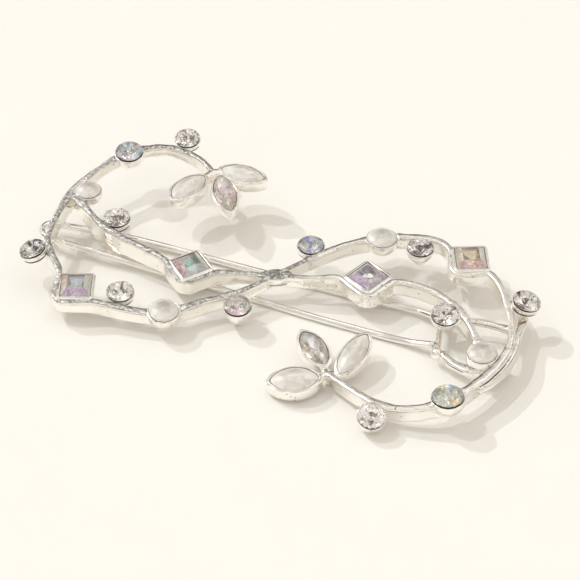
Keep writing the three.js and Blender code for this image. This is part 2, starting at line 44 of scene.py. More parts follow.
# Plan angle of the picture's left-to-right direction, and the fixed direction that lies away from the viewer.
RIGHT_ANGLE = 20.6
AWAY = Vector((-math.sin(math.radians(RIGHT_ANGLE)), math.cos(math.radians(RIGHT_ANGLE)), 0))

CAMERA_PLACE = Vector((84.27, -216.97, 218.24))
CAMERA_AIM = Vector((1.92, 2.10, 0.0))
CAMERA_LENS = 115.8
CAMERA_SENSOR = 36.0
CAMERA_CLIP = (0.005, 10)

# Section of a cast strip from the ridge down: half widths of bead and neck at depths, of the wall at shares.
BEAD = [(0.0, 0.0), (0.19, 0.01), (0.36, 0.045), (0.49, 0.12), (0.58, 0.24), (0.61, 0.38), (0.59, 0.52)]
NECK = [(0.52, 0.66), (0.50, 0.85)]
WALL = [(0.57, 0.5), (0.63, 0.8), (0.68, 0.93), (0.66, 0.985), (0.58, 1.0)]
NECK_DEPTH = 0.95
# A low wall has its neck at a share of its height. Bead and neck keep out of the lower half of any wall.
LOW_WALL = 1.3
LOW_NECK_SHARE = 0.6
FOOT_ROOM = 0.15
UPPER_SHARE = 0.5
VINE_STEP = 0.45
# Broad and fine waver of a strip's width: share of the width, scale.
WAVERS = [(0.14, 0.35), (0.08, 1.1)]
# Blender takes the time for a seed unless it is given one.
NOISE_SEED = 1

# Each row is x, y, ridge height, wall height. Strips bend round the viewer's sides of the square settings.
VINE_PATHS = {
    "vine_left_outer": [
        (-18.75, 18.3, 8.1, 2.0), (-23.1, 20.9, 8.3, 2.2), (-29.2, 21.2, 8.6, 1.8), (-34.5, 17.3, 8.8, 2.2),
        (-37.9, 12.1, 8.2, 1.9), (-40.1, 5.4, 7.4, 3.0), (-39.9, -3.0, 7.0, 3.0), (-38.6, -8.1, 6.6, 3.0),
        (-34.5, -12.2, 5.5, 2.9), (-33.5, -15.2, 4.95, 2.6), (-32.9, -17.3, 4.8, 2.3),
        (-31.6, -18.25, 4.7, 2.2), (-29.2, -17.55, 4.65, 2.3), (-26.5, -16.4, 4.55, 2.7),
        (-24.0, -16.0, 4.4, 2.8), (-19.0, -15.4, 4.1, 2.6), (-14.3, -14.3, 4.1, 2.6),
        (-9.6, -9.9, 4.3, 2.8), (-4.2, -5.5, 4.6, 2.4), (0.0, 0.0, 4.9, 1.8),
    ],
    "vine_left_inner": [
        (-39.4, 4.8, 7.4, 2.6), (-36.0, 2.3, 7.1, 3.6), (-32.4, 0.0, 6.8, 4.7), (-29.8, -0.9, 6.5, 4.6),
        (-26.9, -1.7, 6.2, 3.8), (-22.5, -2.4, 5.7, 3.6), (-18.9, -3.3, 5.3, 3.2), (-16.4, -5.4, 5.0, 2.8),
        (-14.4, -6.9, 4.95, 2.7), (-13.0, -6.6, 4.95, 2.7), (-11.5, -4.9, 4.95, 2.7), (-9.4, -2.7, 4.95, 2.7),
        (-6.9, -1.9, 4.9, 2.4), (0.0, 0.0, 4.9, 1.8),
    ],
    "vine_right_outer": [
        (0.0, 0.0, 4.9, 1.8), (4.3, 5.5, 5.4, 2.4), (8.8, 10.5, 5.8, 2.6), (14.2, 14.4, 6.0, 2.8),
        (20.5, 16.2, 6.5, 2.6), (24.6, 16.1, 6.6, 2.6), (26.4, 14.7, 6.6, 2.5), (27.3, 12.2, 6.5, 2.3),
        (28.1, 10.4, 6.45, 2.2), (29.3, 9.65, 6.4, 2.2), (31.6, 10.5, 6.4, 2.4), (34.1, 11.6, 6.45, 2.8),
        (38.0, 7.6, 6.4, 3.0), (40.7, 2.0, 6.1, 3.0), (41.9, -3.6, 5.7, 3.0), (40.7, -9.3, 5.4, 3.0),
        (38.0, -15.1, 5.4, 3.0), (36.0, -17.8, 5.3, 3.0), (31.9, -20.4, 4.4, 2.8), (26.8, -21.3, 3.8, 2.6),
        (21.2, -19.7, 3.5, 2.4), (15.4, -17.2, 3.4, 2.0),
    ],
    "vine_right_inner": [
        (0.0, 0.0, 4.9, 1.8), (5.8, 1.3, 5.1, 2.4), (10.6, 2.8, 5.3, 2.7), (13.6, 1.3, 5.3, 2.7),
        (15.8, 0.3, 5.3, 2.7), (17.1, 0.8, 5.3, 2.7), (18.2, 3.0, 5.35, 2.7), (19.7, 5.0, 5.5, 2.8),
        (24.9, 5.3, 5.6, 2.8), (29.8, 3.6, 5.5, 2.6), (33.9, 0.3, 5.3, 3.0), (36.9, -4.0, 5.2, 3.0),
        (38.1, -6.2, 5.2, 3.0),
    ],
    "right_shoulder": [
        (42.1, 5.2, 4.4, 1.4), (42.25, 1.5, 4.6, 2.0), (42.7, -2.4, 4.5, 2.2), (42.3, -6.2, 4.3, 2.2),
        (41.0, -9.8, 4.4, 1.9), (39.4, -12.8, 4.6, 1.6),
    ],
    "bridge_strip": [
        (32.7, 1.6, 3.9, 0.9), (34.6, 2.5, 3.7, 0.9), (37.4, 2.8, 3.7, 0.9), (41.0, 2.3, 3.9, 1.0),
    ],
    "hinge_strip": [
        (31.6, -5.6, 2.8, 1.1), (32.2, -6.4, 2.85, 1.2), (33.9, -7.4, 2.9, 1.3), (36.5, -8.0, 3.1, 1.5),
        (38.9, -7.7, 3.4, 1.6),
    ],
}
# Short straight strips that carry the cups: a stem for a round one, a twig for a leaf.
STEM = {"ridge_below_rim": 1.0, "wall": 1.3, "width": 1.25, "inside_cup": 0.35}
TWIG = {"ridge_below_rim": 0.3, "wall": 1.7, "width": 1.15, "reach": 1.2, "rise": 0.1}
SHORT_STEP = 0.3

# Settings. tilt leans a stone toward a plan angle, and shape is how its cup ends below: cone or bowl.
ROUNDS = [
    # name, kind, x, y, rim, radius, depth, tilt, toward, shape
    ("clear_stone_left_1", "clear", -26.4, 24.8, 8.2, 2.4, 2.6, 8, -69, "cone"),
    ("iris_stone_left_1", "iris", -34.3, 16.8, 8.9, 2.6, 2.9, 6, -69, "bowl"),
    ("frosted_stone_left_1", "frosted", -37.3, 5.9, 7.7, 2.4, 2.6, 0, 0, "bowl"),
    ("clear_stone_left_2", "clear", -30.1, 1.9, 6.6, 2.45, 2.6, 4, -69, "cone"),
    ("clear_stone_left_3", "clear", -40.2, -10.4, 6.5, 2.4, 2.6, 14, 200, "cone"),
    ("clear_stone_left_4", "clear", -22.9, -12.9, 4.4, 2.45, 2.6, 4, -69, "cone"),
    ("frosted_stone_left_2", "frosted", -14.3, -14.3, 4.2, 2.85, 2.6, 4, -69, "bowl"),
    ("iris_stone_left_2", "iris", -3.2, -9.1, 4.3, 2.45, 4.28, 4, -69, "cone"),
    ("clear_stone_right_1", "clear", 25.4, -23.8, 3.1, 2.4, 3.08, 22, -69, "bowl"),
    ("iris_stone_right_1", "iris", 36.0, -17.9, 5.5, 2.75, 2.9, 4, 160, "bowl"),
    ("frosted_stone_right_1", "frosted", 38.2, -6.3, 5.3, 2.6, 2.6, 0, 0, "bowl"),
    ("clear_stone_right_2", "clear", 30.0, 0.2, 5.2, 2.45, 2.0, 10, -69, "bowl"),
    ("clear_stone_right_3", "clear", 42.0, 6.7, 6.4, 2.45, 2.6, 12, 0, "cone"),
    ("clear_stone_right_4", "clear", 21.5, 13.2, 6.4, 2.4, 3.4, 0, 0, "cone"),
    ("frosted_stone_right_2", "frosted", 14.4, 13.9, 6.0, 2.75, 3.0, 0, 0, "bowl"),
    ("iris_stone_right_2", "iris", 3.5, 8.1, 5.6, 2.45, 3.0, 0, 0, "cone"),
]
SQUARES = [
    # name, x, y, rim, half x, half y, depth, turn
    ("square_stone_left", -30.3, -14.4, 4.9, 2.55, 2.65, 2.3, 20.6),
    ("diamond_stone_left", -14.2, -3.0, 5.1, 2.5, 2.5, 2.8, 50),
    ("diamond_stone_right", 15.1, 4.4, 5.5, 2.55, 2.5, 2.8, 65.6),
    ("square_stone_right", 30.3, 13.6, 6.7, 2.55, 2.65, 2.4, 22.5),
]
LEAVES = [
    # name, kind, half width, depth, stem end, point
    ("frosted_leaf_left_1", "frosted", 2.2, 2.6, (-19.5, 16.6, 8.3), (-22.6, 8.4, 8.3)),
    ("iris_leaf_left", "iris", 1.9, 2.4, (-17.5, 18.0, 7.9), (-11.9, 9.8, 7.2)),
    ("frosted_leaf_left_2", "frosted", 2.1, 2.4, (-17.9, 19.3, 8.3), (-9.0, 19.4, 8.0)),
    ("frosted_leaf_right_1", "frosted", 2.6, 2.4, (15.0, -18.4, 3.1), (7.0, -22.0, 2.7)),
    ("iris_leaf_right", "iris", 2.0, 2.3, (15.1, -16.0, 3.4), (8.7, -10.5, 4.3)),
    ("frosted_leaf_right_2", "frosted", 1.9, 2.2, (17.4, -17.2, 3.2), (19.3, -7.8, 4.9)),
]
# Width of cup left visible round a stone.
RIM_SHOWN = {"clear": 0.10, "iris": 0.14, "frosted": 0.18}
WIDE_RIM_STONE = "frosted_stone_left_2"
WIDE_RIM = 0.36
LEAF_WALL = 0.3
# The bead of a strip is broader near a round cup: share, reach, and depth to which it is.
FLARE = 0.4
FLARE_REACH = 1.0
FLARE_DEPTH = 0.65
# Inside a cup the strip dips under the stone, by this much a millimetre.
SINK = 1.6
SINK_MARGIN = 0.1
DEEPEST_SINK = 1.5
# Spots where a strip is broader or narrower than elsewhere: x, y, reach, share added.
WIDE_SPOTS = [
    (39.8, -11.0, 3.2, 0.45), (-39.6, 3.6, 2.0, 0.35), (0.0, 0.0, 6.0, -0.22), (6.0, 1.4, 3.5, -0.2),
]

# Outlines seen from above: how many sides, how much a leaf's points stretch, how blunt its ends are.
ROUND_SIDES = 40
LEAF_SIDES = 44
LEAF_POINT_STRETCH = 1.7
LEAF_BLUNTNESS = 0.35
SQUARE_CORNER = 0.22
SHARPEST_CORNER = 0.02
CORNER_STEPS = 5
SQUARE_SIGNS = [(-1, -1), (1, -1), (1, 1), (-1, 1)]

# The flat patch on the crossing: half length, half width, sides, ridge height, turn, and its section.
PATCH = {"half_length": 2.9, "half_width": 1.25, "sides": 36, "top": 4.95, "turn": 24}
PATCH_LEVELS = [
    # offset from the outline, height
    (0.15, -1.6), (0.2, -1.2), (0.12, -0.4), (0.05, -0.12), (-0.1, -0.02), (-0.35, 0.02), (-0.7, 0.03),
    (-1.0, 0.02),
]

WIRE_RADIUS = 0.6
WIRE_STEP = 0.8
WIRE_SIDES = 18
WIRE_PATH = [
    (29.6, -4.1, 2.12), (28.2, -4.0, 1.75), (25.4, -3.8, 1.05), (21.8, -3.6, 0.66), (17.4, -3.5, 0.56),
    (7.5, -3.3, 0.56), (-2.6, -2.8, 0.58), (-10.0, -2.6, 0.7), (-18.0, -2.5, 1.0), (-26.0, -2.5, 1.4),
    (-31.6, -2.6, 1.75), (-37.0, -2.6, 2.0), (-41.0, -2.5, 2.2), (-42.7, -2.0, 2.3), (-43.5, -0.8, 2.3),
    (-43.3, 0.6, 2.3), (-42.2, 1.4, 2.2), (-40.4, 1.6, 2.1), (-35.3, 2.6, 1.7), (-29.0, 3.4, 1.35),
    (-18.0, 3.9, 0.9), (-10.2, 3.95, 0.68), (-1.6, 4.0, 0.56), (9.1, 3.9, 0.56), (17.2, 3.8, 0.75),
    (24.9, 3.5, 1.35), (27.1, 2.75, 1.8), (28.5, 2.3, 2.12),
]
HINGE_NEAR = Vector((30.25, -4.2, 2.2))
HINGE_FAR = Vector((28.93, 2.3, 2.2))
ROD_RADIUS = 0.5
ROD_SIDES = 20
ROD_STEPS = 40
STUB = {"radius": 0.35, "reach": 2.0, "tip": 0.05, "shoulder": 0.05}
KNUCKLE = {"radius": 0.95, "start": 1.15, "length": 1.5, "sides": 28}
BORE = {"radius": 0.6, "depth": 1.1}
AXIS_HOLE = 0.02
# Outside of a knuckle past its mouth: share of its length, share of its radius.
KNUCKLE_BODY = [(0.62, 1.0), (0.82, 0.86), (0.94, 0.62), (1.0, 0.3)]

# Blocks: x, y, length, width, foot, top, turn.
BLOCKS = {
    "catch_plate": (-29.9, -1.05, 2.2, 0.9, 0.35, 4.5, -18),
    "catch_foot": (-28.9, -1.3, 1.6, 0.8, 0.02, 3.2, -14),
    "ear": (42.0, -4.5, 1.5, 1.1, 0.02, 3.6, -75),
}
BLOCK_EDGE = {"inset": 0.2, "corner": 0.12}

# Unevenness of each kind of skin: how far points move in mm, its scale, and a number added to the seed.
SKINS = {
    "vine": [(0.07, 0.8, 0), (0.022, 3.0, 9)],
    "cup": [(0.035, 1.1, 0), (0.012, 3.5, 1)],
    "stem": [(0.05, 1.5, 0)],
    "twig": [(0.06, 1.2, 0)],
    "patch": [(0.05, 2.0, 3)],
    "knuckle": [],
    "block": [(0.03, 1.4, 0)],
    "wire": [(0.02, 0.5, 2)],
    "rod": [(0.05, 2.2, 5)],
}
CUP_SEEDS = {"round": 0, "square": 40, "leaf": 60}


# ---------------------------------------------------------------- colours and node helpers

# Patterns of the finishes: cells to a metre, detail, roughness, span of the noise that makes the pattern.
PATTERNS = {
    "patches": (420, 2.0, 0.55, 0.3, 0.72),
    "pit_areas": (260, 2.0, 0.55, 0.48, 0.60),
    "stain": (330, 4.0, 0.7, 0.52, 0.72),
    "speckle": (2100, 4.0, 0.75, 0.40, 0.60),
    "coating_cloud": (1300, 2.0, 0.55, 0.35, 0.65),
    "milk_cloud": (520, 3.0, 0.55, 0.3, 0.7),
    "satin": (700, 3.0, 0.55, 0.3, 0.7),
}
# Plain noise: cells to a metre, detail.
GRAINS = {
    "ripple": (1100, 2.0), "fine": (3200, 3.0), "inside": (1500, 3.0), "frost": (5200, 2.0),
    "floor_shade": (60, 3.0), "floor_grain": (900, 2.0),
}
PIT_CELLS = 1350.0
PIT_EDGE = (0.10, 0.24)
# Cells of the painted glitter, to a metre.
GLITTER_CELLS = 3300.0

# Colours from 0 to 255, and the shares of its colour that stained silver keeps.
PIT_BROWN = (96, 78, 62)
# Painted shade on the faces under the bead.
UNDERSIDE_SHADE_BROWN = (84, 74, 62)
MOTTLE_DARK = (58, 56, 52)
MOTTLE_LIGHT = (210, 209, 204)
# Painted shade inside the cups, dark to lighter brown.
INSIDE_SHADE_DARK = (92, 74, 60)
INSIDE_SHADE_LIGHT = (158, 138, 118)
# Painted glitter: small cells of the stones lightened and dimmed.
GLITTER_LIGHT = (255, 254, 252)
GLITTER_DIM = (190, 178, 178)
COATING_CLOUD = (253, 252, 250)
MILK = (255, 250, 240)
STAIN_SHARES = (0.95, 0.90, 0.84)
STAIN_AMOUNT = 0.35
CLOUD_AMOUNT = {"coating": 0.35, "milk": 0.16}

# Bumps: strength, and depth in metres.
METAL_BUMP = (0.5, 0.00006)
FROST_BUMP = (0.1, 0.00001)
FLOOR_BUMP = (0.05, 0.0003)
GRAIN_SHARES = {"fine": 0.35, "ripple": 1.6}

# Darker speckled tops: their places in metres, then their strength. Normals say how far a face looks up.
MOTTLE = {
    "middle_mm": 0.4, "middle_reach": (0.0030, 0.0065), "left_reach": (-0.012, 0.006),
    "left_strength": (0.9, 0.16), "looks_up": (0.35, 0.7), "colour": 0.85, "dullness": 0.12, "bumps": 1.2,
}
# Painted shade on the faces under the bead, by how far a face looks down.
UNDERSIDE_SHADE = {"upper_edge": (-0.42, -0.2, 0.85, 0.0), "lower_edge": (-0.8, -0.6)}


def linear(rgb):
    """Screen colour, 0 to 255, as the linear values that nodes take."""
    shares = [c / 255 for c in rgb]
    return tuple(c / 12.92 if c <= 0.04045 else ((c + 0.055) / 1.055) ** 2.4 for c in shares) + (1.0,)


class Nodes:
    """A short hand for building node trees."""

    def __init__(self, tree):
        self.tree = tree
        self.tree.nodes.clear()

    def add(self, kind, inputs=None, **settings):
        """Adds a node. An input is linked if it comes from another node, and set if it is a plain value."""
        node = self.tree.nodes.new(kind)
        for key, value in settings.items():
            setattr(node, key, value)
        for key, value in (inputs or {}).items():
            if isinstance(value, bpy.types.NodeSocket):
                self.tree.links.new(value, node.inputs[key])
            else:
                node.inputs[key].default_value = value
        return node

    def math(self, operation, a, b=0.0):
        return self.add("ShaderNodeMath", {0: a, 1: b}, operation=operation).outputs[0]

    def times(self, a, b):
        return self.math("MULTIPLY", a, b)

    def spread(self, value, low, high, to_low=0.0, to_high=1.0):
        inputs = {"Value": value, "From Min": low, "From Max": high, "To Min": to_low, "To Max": to_high}
        return self.add("ShaderNodeMapRange", inputs, interpolation_type="SMOOTHSTEP").outputs[0]

    def noise(self, place, scale, detail, roughness=0.55):
        inputs = {"Vector": place, "Scale": scale, "Detail": detail, "Roughness": roughness}
        return self.add("ShaderNodeTexNoise", inputs).outputs["Fac"]

    def grain(self, place, name):
        return self.noise(place, *GRAINS[name])

    def pattern(self, place, name, to_low=0.0, to_high=1.0):
        scale, detail, roughness, low, high = PATTERNS[name]
        return self.spread(self.noise(place, scale, detail, roughness), low, high, to_low, to_high)

    def cells(self, place, scale, output):
        inputs = {"Vector": place, "Scale": scale}
        return self.add("ShaderNodeTexVoronoi", inputs, feature="F1").outputs[output]

    def mix(self, factor, a, b):
        """Mixes two colours. Their sockets are numbers 6 and 7 of a Mix node."""
        return self.add("ShaderNodeMix", {0: factor, 6: a, 7: b}, data_type="RGBA").outputs[2]

    def part(self, vector, axis):
        return self.add("ShaderNodeSeparateXYZ", {0: vector}).outputs[axis]

    def place(self):
        return self.add("ShaderNodeTexCoord").outputs["Object"]

    def tone(self):
        """The tone that each facet of a stone was painted with."""
        return self.add("ShaderNodeAttribute", attribute_name="tone").outputs["Color"]

    def bump(self, height, strength, distance):
        inputs = {"Strength": strength, "Distance": distance, "Height": height}
        return self.add("ShaderNodeBump", inputs).outputs[0]

    def surface(self, inputs):
        """Ends a material with a shader of these inputs."""
        shader = self.add("ShaderNodeBsdfPrincipled", inputs)
        self.add("ShaderNodeOutputMaterial", {0: shader.outputs[0]})


def new_material(name):
    material = bpy.data.materials.new(name)
    material.use_nodes = True
    return material, Nodes(material.node_tree)


def mottle_and_underside_shade(n, place, colour, rough, height):
    """Darker, duller speckled tops on the crossing and on the left half, and painted shade, brown, on the
    faces that look down under the bead.
    """
    across = n.part(place, 0)
    facing = n.part(n.add("ShaderNodeNewGeometry").outputs["Normal"], 2)
    along = n.math("ABSOLUTE", n.math("SUBTRACT", across, (CROSSING.x + MOTTLE["middle_mm"]) * MM))
    middle = n.spread(along, *MOTTLE["middle_reach"], 1.0, 0.0)
    left_half = n.spread(across, *MOTTLE["left_reach"], *MOTTLE["left_strength"])
    speckle = n.pattern(place, "speckle")
    # Faces that look up on the crossing and on the left half are darkened with speckle, duller and bumpier.
    top = n.times(n.math("MAXIMUM", middle, left_half), n.spread(facing, *MOTTLE["looks_up"]))
    dark_speckle = n.mix(speckle, linear(MOTTLE_DARK), linear(MOTTLE_LIGHT))
    colour = n.mix(n.times(top, MOTTLE["colour"]), colour, dark_speckle)
    rough = n.math("ADD", rough, n.times(top, MOTTLE["dullness"]))
    height = n.math("ADD", height, n.times(n.times(speckle, top), MOTTLE["bumps"]))
    # Painted shade: faces under the bead that look down are darkened brown.
    underside_shade = n.times(n.spread(facing, *UNDERSIDE_SHADE["upper_edge"]), n.spread(facing, *UNDERSIDE_SHADE["lower_edge"]))
    return n.mix(underside_shade, colour, linear(UNDERSIDE_SHADE_BROWN)), rough, height


def silver(name, base, rough, pits, grain, mottled_and_shaded=False):
    """Cast silver plate: patches of polish and dullness, fine grain, small casting pits and faint brown
    stain. rough is the lowest and highest roughness."""
    material, n = new_material(name)
    place = n.place()
    holes = n.spread(n.cells(place, PIT_CELLS, "Distance"), *PIT_EDGE, 1.0, 0.0)
    pit = n.times(holes, n.pattern(place, "pit_areas"))
    stained = [c * share for c, share in zip(base, STAIN_SHARES)]
    colour = n.mix(n.pattern(place, "stain", 0.0, STAIN_AMOUNT), linear(base), linear(stained))
    colour = n.mix(n.times(pit, pits), colour, linear(PIT_BROWN))
    roughness = n.pattern(place, "patches", *rough)
    fine = n.times(n.grain(place, "fine"), grain * GRAIN_SHARES["fine"])
    height = n.math("ADD", fine, n.times(n.grain(place, "ripple"), grain * GRAIN_SHARES["ripple"]))
    height = n.math("SUBTRACT", height, n.times(pit, pits))
    # On the vine only: darker speckled tops, and painted shade under the bead.
    if mottled_and_shaded:
        colour, roughness, height = mottle_and_underside_shade(n, place, colour, roughness, height)
    bump = n.bump(height, *METAL_BUMP)
    n.surface({"Base Color": colour, "Metallic": 1.0, "Roughness": roughness, "Normal": bump})
    return material


def shaded_inside():
    """The inside of a cup, painted dark brown as shade, which shows where the stone's edge leaves a gap."""
    material, n = new_material("setting_inside")
    colour = n.mix(n.grain(n.place(), "inside"), linear(INSIDE_SHADE_DARK), linear(INSIDE_SHADE_LIGHT))
    n.surface({"Base Color": colour, "Metallic": 0.7, "Roughness": 0.5})
    return material


def speckled(n, place, colour, amount):
    """Paints glitter: lightens some small cells and dims others."""
    pick = n.part(n.cells(place, GLITTER_CELLS, "Color"), 0)
    colour = n.mix(n.spread(pick, 0.45, 0.85, 0.0, amount), colour, linear(GLITTER_LIGHT))
    return n.mix(n.spread(pick, 0.0, 0.3, amount * 0.7, 0.0), colour, linear(GLITTER_DIM))


def cut_glass(name, clarity, sparkle):
    """Polished glass faces, each tinted by its own facet's tone. clarity is the share of light that passes
    through, sparkle how much small cells are painted lighter or darker as glitter."""
    material, n = new_material(name)
    tone, place = n.tone(), n.place()
    cloud = n.pattern(place, "coating_cloud", 0.0, CLOUD_AMOUNT["coating"])
    colour = speckled(n, place, n.mix(cloud, tone, linear(COATING_CLOUD)), sparkle)
    n.surface({"Base Color": colour, "Roughness": 0.015, "IOR": 1.56, "Transmission Weight": clarity})
    return material


def foil(name, sparkle, roughness, white):
    """The foil behind a stone: mirror over a share of white backing. Small cells of it are painted a little
    lighter or darker as glitter.
    """
    material, n = new_material(name)
    tone, place = n.tone(), n.place()
    colour = speckled(n, place, tone, sparkle)
    n.surface({"Base Color": colour, "Roughness": roughness, "Metallic": 1.0 - white})
    return material


def frosted_glass():
    """Milky glass with a satin face. Its painted facets give the soft light and shade of the foil behind."""
    material, n = new_material("frosted_glass")
    tone, place = n.tone(), n.place()
    colour = n.mix(n.pattern(place, "milk_cloud", 0.0, CLOUD_AMOUNT["milk"]), tone, linear(MILK))
    bump = n.bump(n.grain(place, "frost"), *FROST_BUMP)
    rough = n.pattern(place, "satin", 0.28, 0.38)
    n.surface({
        "Base Color": colour, "Roughness": rough, "Normal": bump, "Transmission Weight": 0.16, "IOR": 1.5,
    })
    return material


# ---------------------------------------------------------------- mesh helpers

def to_world(point):
    return (point + CROSSING) * MM


def finish_piece(name, mesh, materials, replaces, body="frame"):
    for material in materials:
        mesh.materials.append(material)
    piece = bpy.data.objects.new(name, mesh)
    bpy.context.scene.collection.objects.link(piece)
    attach(piece, body)
    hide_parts(replaces)


def roughened(points, skin, seed):
    """Moves the points a little, smoothly, as the skin of a casting varies."""
    for amount, scale, more in SKINS[skin]:
        shift = Vector(((seed + more) * 7.3, (seed + more) * 3.1, (seed + more) * 5.7))
        points = [p + noise.noise_vector((p + shift) * scale) * amount for p in points]
    return points


def loft_mesh(name, rings, skin, seed=0, slots=None):
    """A closed mesh through rings of equal length. slots gives the material slot of each band."""
    sides, bands = len(rings[0]), slots or [0] * (len(rings) - 1)
    faces, face_slots = [], []
    for index, slot in enumerate(bands):
        low = index * sides
        for side in range(sides):
            after = (side + 1) % sides
            faces.append((low + side, low + after, low + sides + after, low + sides + side))
            face_slots.append(slot)
    top = len(bands) * sides
    faces += [tuple(reversed(range(sides))), tuple(range(top, top + sides))]
    face_slots += [bands[0], bands[-1]]
    mesh = bpy.data.meshes.new(name)
    points = roughened([p for points in rings for p in points], skin, seed)
    mesh.from_pydata([to_world(p) for p in points], [], faces)
    mesh.polygons.foreach_set("material_index", face_slots)
    mesh.shade_smooth()
    mesh.validate()
    return mesh


def add_casting(name, rings, materials, skin, seed=0, slots=None):
    """Adds one lofted piece of the cast frame."""
    finish_piece(name, loft_mesh(name, rings, skin, seed, slots), materials, "vine_frame")


def smooth_path(rows, step):
    """Points on a centripetal curve through the rows. The first three numbers of a row are its place."""
    rows = [tuple(map(float, row)) for row in rows]
    first = tuple(2 * a - b for a, b in zip(rows[0], rows[1]))
    last = tuple(2 * a - b for a, b in zip(rows[-1], rows[-2]))
    padded = [first, *rows, last]
    made = []
    for index in range(1, len(padded) - 2):
        a, b, c, d = padded[index - 1:index + 3]
        gaps = [max(1e-4, math.dist(p[:3], q[:3])) ** 0.5 for p, q in ((a, b), (b, c), (c, d))]
        count = max(2, round(math.dist(b[:3], c[:3]) / step))
        for part in range(count):
            made.append(hermite(a, b, c, d, gaps, part / count))
    made.append(rows[-1])
    return made


def hermite(a, b, c, d, gaps, t):
    """The place at share t between b and c."""
    before, middle, after = gaps
    values = []
    for p, q, r, s in zip(a, b, c, d):
        start = ((q - p) / before - (r - p) / (before + middle) + (r - q) / middle) * middle
        end = ((r - q) / middle - (s - q) / (middle + after) + (s - r) / after) * middle
        values.append(
            (2 * t**3 - 3 * t**2 + 1) * q + (t**3 - 2 * t**2 + t) * start
            + (-2 * t**3 + 3 * t**2) * r + (t**3 - t**2) * end
        )
    return tuple(values)


def wall_depth(wall, share):
    if wall > LOW_WALL:
        return NECK_DEPTH + (wall - NECK_DEPTH) * share
    return wall * (LOW_NECK_SHARE + (1 - LOW_NECK_SHARE) * share)


def strip_section(wall):
    """One side of a strip's section, from the ridge down: (half width, depth)."""
    room = wall - FOOT_ROOM
    upper = [(w, min(d, room * UPPER_SHARE)) for w, d in BEAD + NECK]
    return upper + [(w, wall_depth(wall, share)) for w, share in WALL]


def nearest_cup(x, y):
    """How far a place lies outside the nearest round cup, and the height of that cup's rim."""
    return min((math.hypot(x - row[2], y - row[3]) - row[5], row[4]) for row in ROUNDS)


def strip_points(rows):
    """Points along a strip. Its bead flares where it meets a round cup and dips under the stone inside it."""
    points = []
    for x, y, ridge, wall in smooth_path(rows, VINE_STEP):
        outside, rim = nearest_cup(x, y)
        top = ridge
        if outside < -SINK_MARGIN:
            top = min(ridge, rim - min(DEEPEST_SINK, (-outside - SINK_MARGIN) * SINK))
        flare = FLARE * math.exp(-((max(outside, 0) / FLARE_REACH) ** 2))
        for wide_x, wide_y, reach, amount in WIDE_SPOTS:
            flare += amount * math.exp(-((math.hypot(x - wide_x, y - wide_y) / reach) ** 2))
        points.append((x, y, top, wall - (ridge - top), 1 + flare))
    return points


def strip_rings(points, width=1.0):
    rings = []
    for index, (x, y, ridge, wall, flare) in enumerate(points):
        a, b = points[max(0, index - 1)], points[min(len(points) - 1, index + 1)]
        tangent = Vector((b[0] - a[0], b[1] - a[1], 0)).normalized()
        left = UP.cross(tangent)
        top = Vector((x, y, ridge))
        waver = sum((share * noise.noise(top * scale) for share, scale in WAVERS), 1)
        half = [(w * waver * width * (flare if d < FLARE_DEPTH else 1.0), d) for w, d in strip_section(wall)]
        outline = [(w, d) for w, d in reversed(half)] + [(-w, d) for w, d in half[1:]]
        rings.append([top + left * w - UP * d for w, d in outline])
    return rings


def short_strip(start, end, wall, width):
    """Rings of a short straight strip between two ridge points."""
    points = smooth_path([(*start, wall), (*end, wall)], SHORT_STEP)
    return strip_rings([(*point, 1.0) for point in points], width)


def circle(count):
    """Angles of so many corners round a full turn."""
    return [2 * math.pi * k / count for k in range(count)]


# An outline takes an offset from its edge and a height, and gives the points of a ring there.

def round_outline(radius):
    def at(offset, z):
        reach = radius + offset
        return [Vector((math.cos(a), math.sin(a), 0)) * reach + UP * z for a in circle(ROUND_SIDES)]
    return at


def leaf_outline(half_length, half_width, count=LEAF_SIDES):
    def at(offset, z):
        points = []
        for angle in circle(count):
            along = math.cos(angle) * (half_length + offset * LEAF_POINT_STRETCH)
            fullness = math.sin(angle) * abs(math.sin(angle)) ** LEAF_BLUNTNESS
            points.append(Vector((along, fullness * (half_width + offset), z)))
        return points
    return at


def square_outline(half_x, half_y, corner=SQUARE_CORNER):
    def at(offset, z):
        radius = max(SHARPEST_CORNER, corner + offset)
        x, y = half_x + offset - radius, half_y + offset - radius
        points = []
        for quarter, (sx, sy) in enumerate(((1, 1), (-1, 1), (-1, -1), (1, -1))):
            for k in range(CORNER_STEPS + 1):
                angle = math.radians(90 * quarter + 90 * k / CORNER_STEPS)
                place = (sx * x + radius * math.cos(angle), sy * y + radius * math.sin(angle), z)
                points.append(Vector(place))
        return points
    return at


def turn_of(tilt, toward, turn=0.0):
    axis = Matrix.Rotation(math.radians(toward), 3, "Z") @ Vector((0, 1, 0))
    return Quaternion(axis, math.radians(tilt)) @ Quaternion(UP, math.radians(turn))


def leaf_turn(start, end):
    along = (end - start).normalized()
    across = UP.cross(along).normalized()
    return Matrix((along, across, along.cross(across))).transposed().to_quaternion()


def placed(points, centre, turn):
    return [centre + turn @ p for p in points]


# ---------------------------------------------------------------- stones

# Height of the edge of a square or leaf stone over its rim, and the small step down and in below that edge.
SEAT = -0.08
GIRDLE_INSET = 0.03
# Rings of corners of the round stones: share of the radius, height, corners, turn in corners.
ROUND_CUT = [
    (0.52, 1.06, 8, 0.5), (0.81, 0.7632, 8, 0), (0.93, 0.56, 16, 0.5), (1.0, 0.36, 16, 0),
    (0.99, 0.28, 16, 0), (0.37, -0.80, 8, 0.5),
]
ROUND_TIP = -1.32
FROSTED_CUT = [
    (0.13, 0.96, 6, 0), (0.40, 0.90, 8, 0), (0.76, 0.64, 8, 0.5), (0.93, 0.34, 16, 0), (1.0, 0.10, 32, 0),
    (0.985, 0.0, 32, 0), (0.5, -0.62, 8, 0.5),
]
FROSTED_TIP = -1.2
